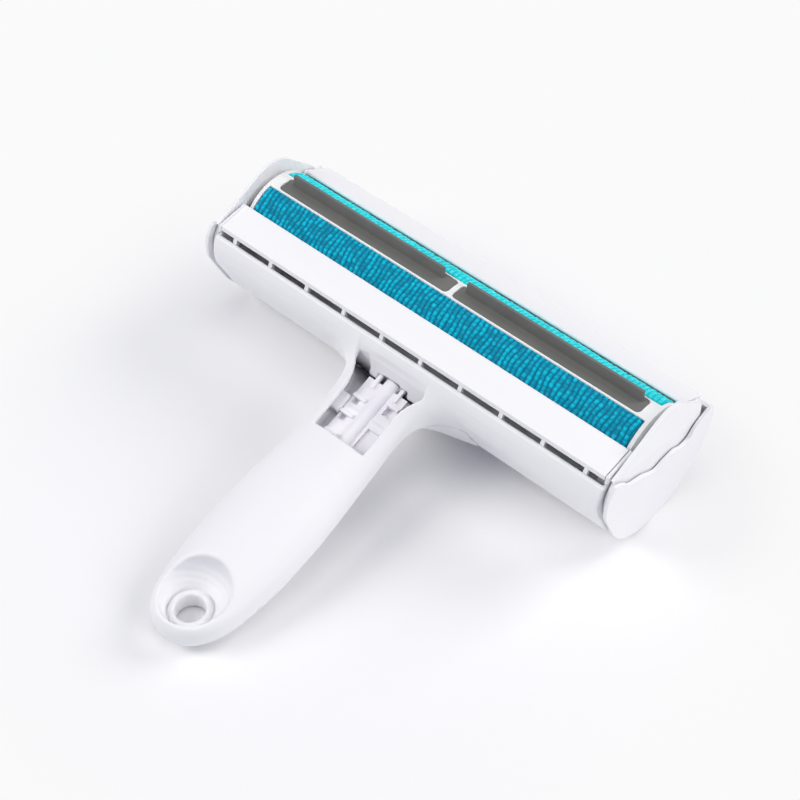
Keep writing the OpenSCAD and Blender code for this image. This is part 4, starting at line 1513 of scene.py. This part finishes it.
@dataclass(frozen=True)
class Studio:
    """Pale floor, soft light and the camera at the photograph's angle, in metres and degrees."""

    camera_place: Point = (0.2626, -0.27193, 0.5113)
    azimuth: float = 40.88
    elevation: float = 50.79
    lens: float = 76.5
    sensor: float = 36.0
    floor_half: float = 3.0
    floor_colour: Colour = (0.965, 0.965, 0.968)
    floor_rough: float = 0.9
    floor_specular: float = 0.1
    backdrop: Colour = (0.956, 0.956, 0.958)
    fade: tuple[float, float] = (0.09, 0.18)
    sky: Colour = (0.68, 0.73, 1.0)
    sky_strength: float = 0.24
    lamp_reach: float = 2.2
    lamp_size: float = 1.1
    lamp_colour: Colour = (1.0, 0.985, 0.942)
    lamp_aim: Point = (0.0, 0.0, 0.02)
    lamps: tuple[Softbox, ...] = (
        Softbox("softbox_top", 0, 90, 8.8),
        Softbox("softbox_right", 0, 30, 13.8),
        Softbox("softbox_back_right", 60, 35, 18.0),
        Softbox("softbox_front_left", -140, 40, 24.0),
    )

    def camera(self) -> None:
        """Places the camera."""
        data = bpy.data.cameras.new("camera")
        data.lens, data.sensor_width = self.lens, self.sensor
        camera = bpy.data.objects.new("camera", data)
        bpy.context.scene.collection.objects.link(camera)
        a, e = math.radians(self.azimuth), math.radians(self.elevation)
        look = Vector((-math.sin(a) * math.cos(e), math.cos(a) * math.cos(e), -math.sin(e)))
        camera.location = self.camera_place
        camera.rotation_mode = "QUATERNION"
        camera.rotation_quaternion = look.to_track_quat("-Z", "Y")
        bpy.context.scene.camera = camera

    def seen_rays(self, tree: bpy.types.NodeTree) -> bpy.types.NodeSocket:
        """Makes a mask of the rays that come from the camera, a reflection or glass.

        Args:
            tree: Node tree of a material or of the world.

        Returns:
            The socket with the mask.
        """
        rays = tree.nodes.new("ShaderNodeLightPath")
        mask = rays.outputs["Is Camera Ray"]
        for label in ("Is Glossy Ray", "Is Transmission Ray"):
            either = tree.nodes.new("ShaderNodeMath")
            either.operation = "MAXIMUM"
            tree.links.new(mask, either.inputs[0])
            tree.links.new(rays.outputs[label], either.inputs[1])
            mask = either.outputs["Value"]
        return mask

    def fade_out(self, tree: bpy.types.NodeTree, shader: bpy.types.Node) -> None:
        """Fades the floor to the even backdrop away from the brush and its shadows.

        Args:
            tree: Node tree of the floor's material.
            shader: The floor's own shader.
        """
        place = tree.nodes.new("ShaderNodeTexCoord")
        reach = tree.nodes.new("ShaderNodeVectorMath")
        reach.operation = "LENGTH"
        tree.links.new(place.outputs["Object"], reach.inputs[0])
        spread = tree.nodes.new("ShaderNodeMapRange")
        spread.interpolation_type = "SMOOTHSTEP"
        tree.links.new(reach.outputs["Value"], spread.inputs["Value"])
        spread.inputs["From Min"].default_value, spread.inputs["From Max"].default_value = self.fade
        share = tree.nodes.new("ShaderNodeMath")
        share.operation = "MULTIPLY"
        tree.links.new(spread.outputs["Result"], share.inputs[0])
        tree.links.new(self.seen_rays(tree), share.inputs[1])
        even = tree.nodes.new("ShaderNodeEmission")
        even.inputs["Color"].default_value = (*self.backdrop, 1)
        mix = tree.nodes.new("ShaderNodeMixShader")
        tree.links.new(share.outputs["Value"], mix.inputs[0])
        tree.links.new(shader.outputs["BSDF"], mix.inputs[1])
        tree.links.new(even.outputs["Emission"], mix.inputs[2])
        sink = next(n for n in tree.nodes if n.type == "OUTPUT_MATERIAL")
        tree.links.new(mix.outputs["Shader"], sink.inputs["Surface"])

    def floor(self) -> None:
        """Makes the floor."""
        mesh = bpy.data.meshes.new("floor")
        half = self.floor_half
        corners = [(-half, -half, 0), (half, -half, 0), (half, half, 0), (-half, half, 0)]
        mesh.from_pydata(corners, [], [(0, 1, 2, 3)])
        floor = bpy.data.objects.new("floor", mesh)
        bpy.context.scene.collection.objects.link(floor)
        material, tree, shader = blank_material("pale_table")
        shader.inputs["Base Color"].default_value = (*self.floor_colour, 1)
        shader.inputs["Roughness"].default_value = self.floor_rough
        shader.inputs["Specular IOR Level"].default_value = self.floor_specular
        self.fade_out(tree, shader)
        mesh.materials.append(material)

    def lamp(self, box: Softbox) -> None:
        """Adds a square soft lamp that looks at the middle of the brush.

        Args:
            box: The lamp's direction and power.
        """
        data = bpy.data.lights.new(box.name, "AREA")
        data.size, data.energy, data.color = self.lamp_size, box.power, self.lamp_colour
        a, e = math.radians(box.azimuth), math.radians(box.elevation)
        out = Vector((math.cos(a) * math.cos(e), math.sin(a) * math.cos(e), math.sin(e)))
        lamp = bpy.data.objects.new(box.name, data)
        lamp.location = self.lamp_reach * out
        lamp.rotation_mode = "QUATERNION"
        look = Vector(self.lamp_aim) - self.lamp_reach * out
        lamp.rotation_quaternion = look.to_track_quat("-Z", "Y")
        bpy.context.scene.collection.objects.link(lamp)

    def light(self) -> None:
        """Adds the sky and the soft lamps."""
        world = bpy.data.worlds.new("soft_sky")
        world.use_nodes = True
        tree = world.node_tree
        background = tree.nodes["Background"]
        background.inputs["Color"].default_value = (*self.sky, 1)
        background.inputs["Strength"].default_value = self.sky_strength
        even = tree.nodes.new("ShaderNodeBackground")
        even.inputs["Color"].default_value = (*self.backdrop, 1)
        mix = tree.nodes.new("ShaderNodeMixShader")
        tree.links.new(self.seen_rays(tree), mix.inputs[0])
        tree.links.new(background.outputs["Background"], mix.inputs[1])
        tree.links.new(even.outputs["Background"], mix.inputs[2])
        tree.links.new(mix.outputs["Shader"], tree.nodes["World Output"].inputs["Surface"])
        bpy.context.scene.world = world
        for box in self.lamps:
            self.lamp(box)

    def build(self) -> None:
        """Sets up the whole studio."""
        self.camera()
        self.floor()
        self.light()
        bpy.context.scene.view_settings.view_transform = "Standard"


# The edge colour of each white plastic is a painted highlight on its convex edges
WHITE = PlasticFinish(
    "white_shell_plastic",
    colour=(0.94, 0.935, 0.957),
    shade=(0.91, 0.905, 0.932),
    edge=(0.97, 0.968, 0.975),
)
DRUM_WHITE = PlasticFinish(
    "drum_plastic",
    colour=(0.94, 0.945, 0.94),
    shade=(0.91, 0.92, 0.91),
    edge=(0.97, 0.97, 0.97),
)
LEVER_WHITE = PlasticFinish(
    "lever_plastic",
    colour=(0.95, 0.93, 0.97),
    shade=(0.92, 0.9, 0.95),
    edge=(0.97, 0.96, 0.98),
)
RUBBER = RubberFinish("grey_rubber", dark=(0.12, 0.122, 0.113), light=(0.175, 0.175, 0.164))
# The pile's fabric as the near strip shows it; the far strip gets a brighter copy of it
TEAL = PileFinish(
    "teal_pile",
    root=(0.0, 0.15, 0.25),
    middle=(0.0, 0.31, 0.48),
    tip=(0.0, 0.62, 0.82),
    sheen=(0.0, 0.8, 1.0),
    sheen_weight=0.05,
)
# The same fabric as the near strip, painted much brighter as the sheen that its nap catches on the far side
FAR_PILE_SHEEN = PileFinish(
    "far_pile_painted_sheen",
    root=(0.0, 0.5, 0.56),
    middle=(0.02, 0.84, 0.9),
    tip=(0.12, 0.96, 1.0),
    sheen=(0.2, 0.98, 1.0),
    sheen_weight=0.5,
)
STEEL = SteelFinish("plated_steel", colour=(0.62, 0.62, 0.64))
# Widths of rounded edges that differ from the usual one, in millimetres
FINE_EDGES = {"lever_spring": 0.02, "handle_screws": 0.1, "cover_screws": 0.1}


def main() -> None:
    """Builds the dressed brush and its studio."""
    logging.basicConfig(level=logging.INFO, format="%(message)s")
    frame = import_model()
    effects = Effects()
    Studio().build()
    head = HeadFrame()
    white = WHITE.material(effects)
    drum_white = DRUM_WHITE.material(effects)
    HandleShells(head).build(white)
    for side in Side:
        EndFrames(head).build(side, white)
    PileStrip(head).build(Row.NEAR, TEAL.material(effects))
    PileStrip(head).build(Row.FAR, FAR_PILE_SHEEN.material(effects))
    rubber = RUBBER.material(effects)
    steel = STEEL.material(effects)
    lever = LEVER_WHITE.material(effects)
    groups = (
        (white, ("lip_near", "lip_far", "end_cover_left", "end_cover_right", "bin_lid")),
        (drum_white, ("drum_shell", "drum_back", "drum_cap_left", "drum_cap_right", "blade_clamp")),
        (rubber, ("blade_left", "blade_right")),
        (lever, ("release_lever",)),
        (steel, ("handle_screws", "cover_screws", "drum_screws")),
        (steel, ("hinge_pin_left", "hinge_pin_right", "lever_pin", "lever_spring")),
    )
    dress = CadDress(frame["nodes"], FINE_EDGES)
    for material, names in groups:
        for name in names:
            dress.dress(name, material)


if __name__ == "__main__":
    main()
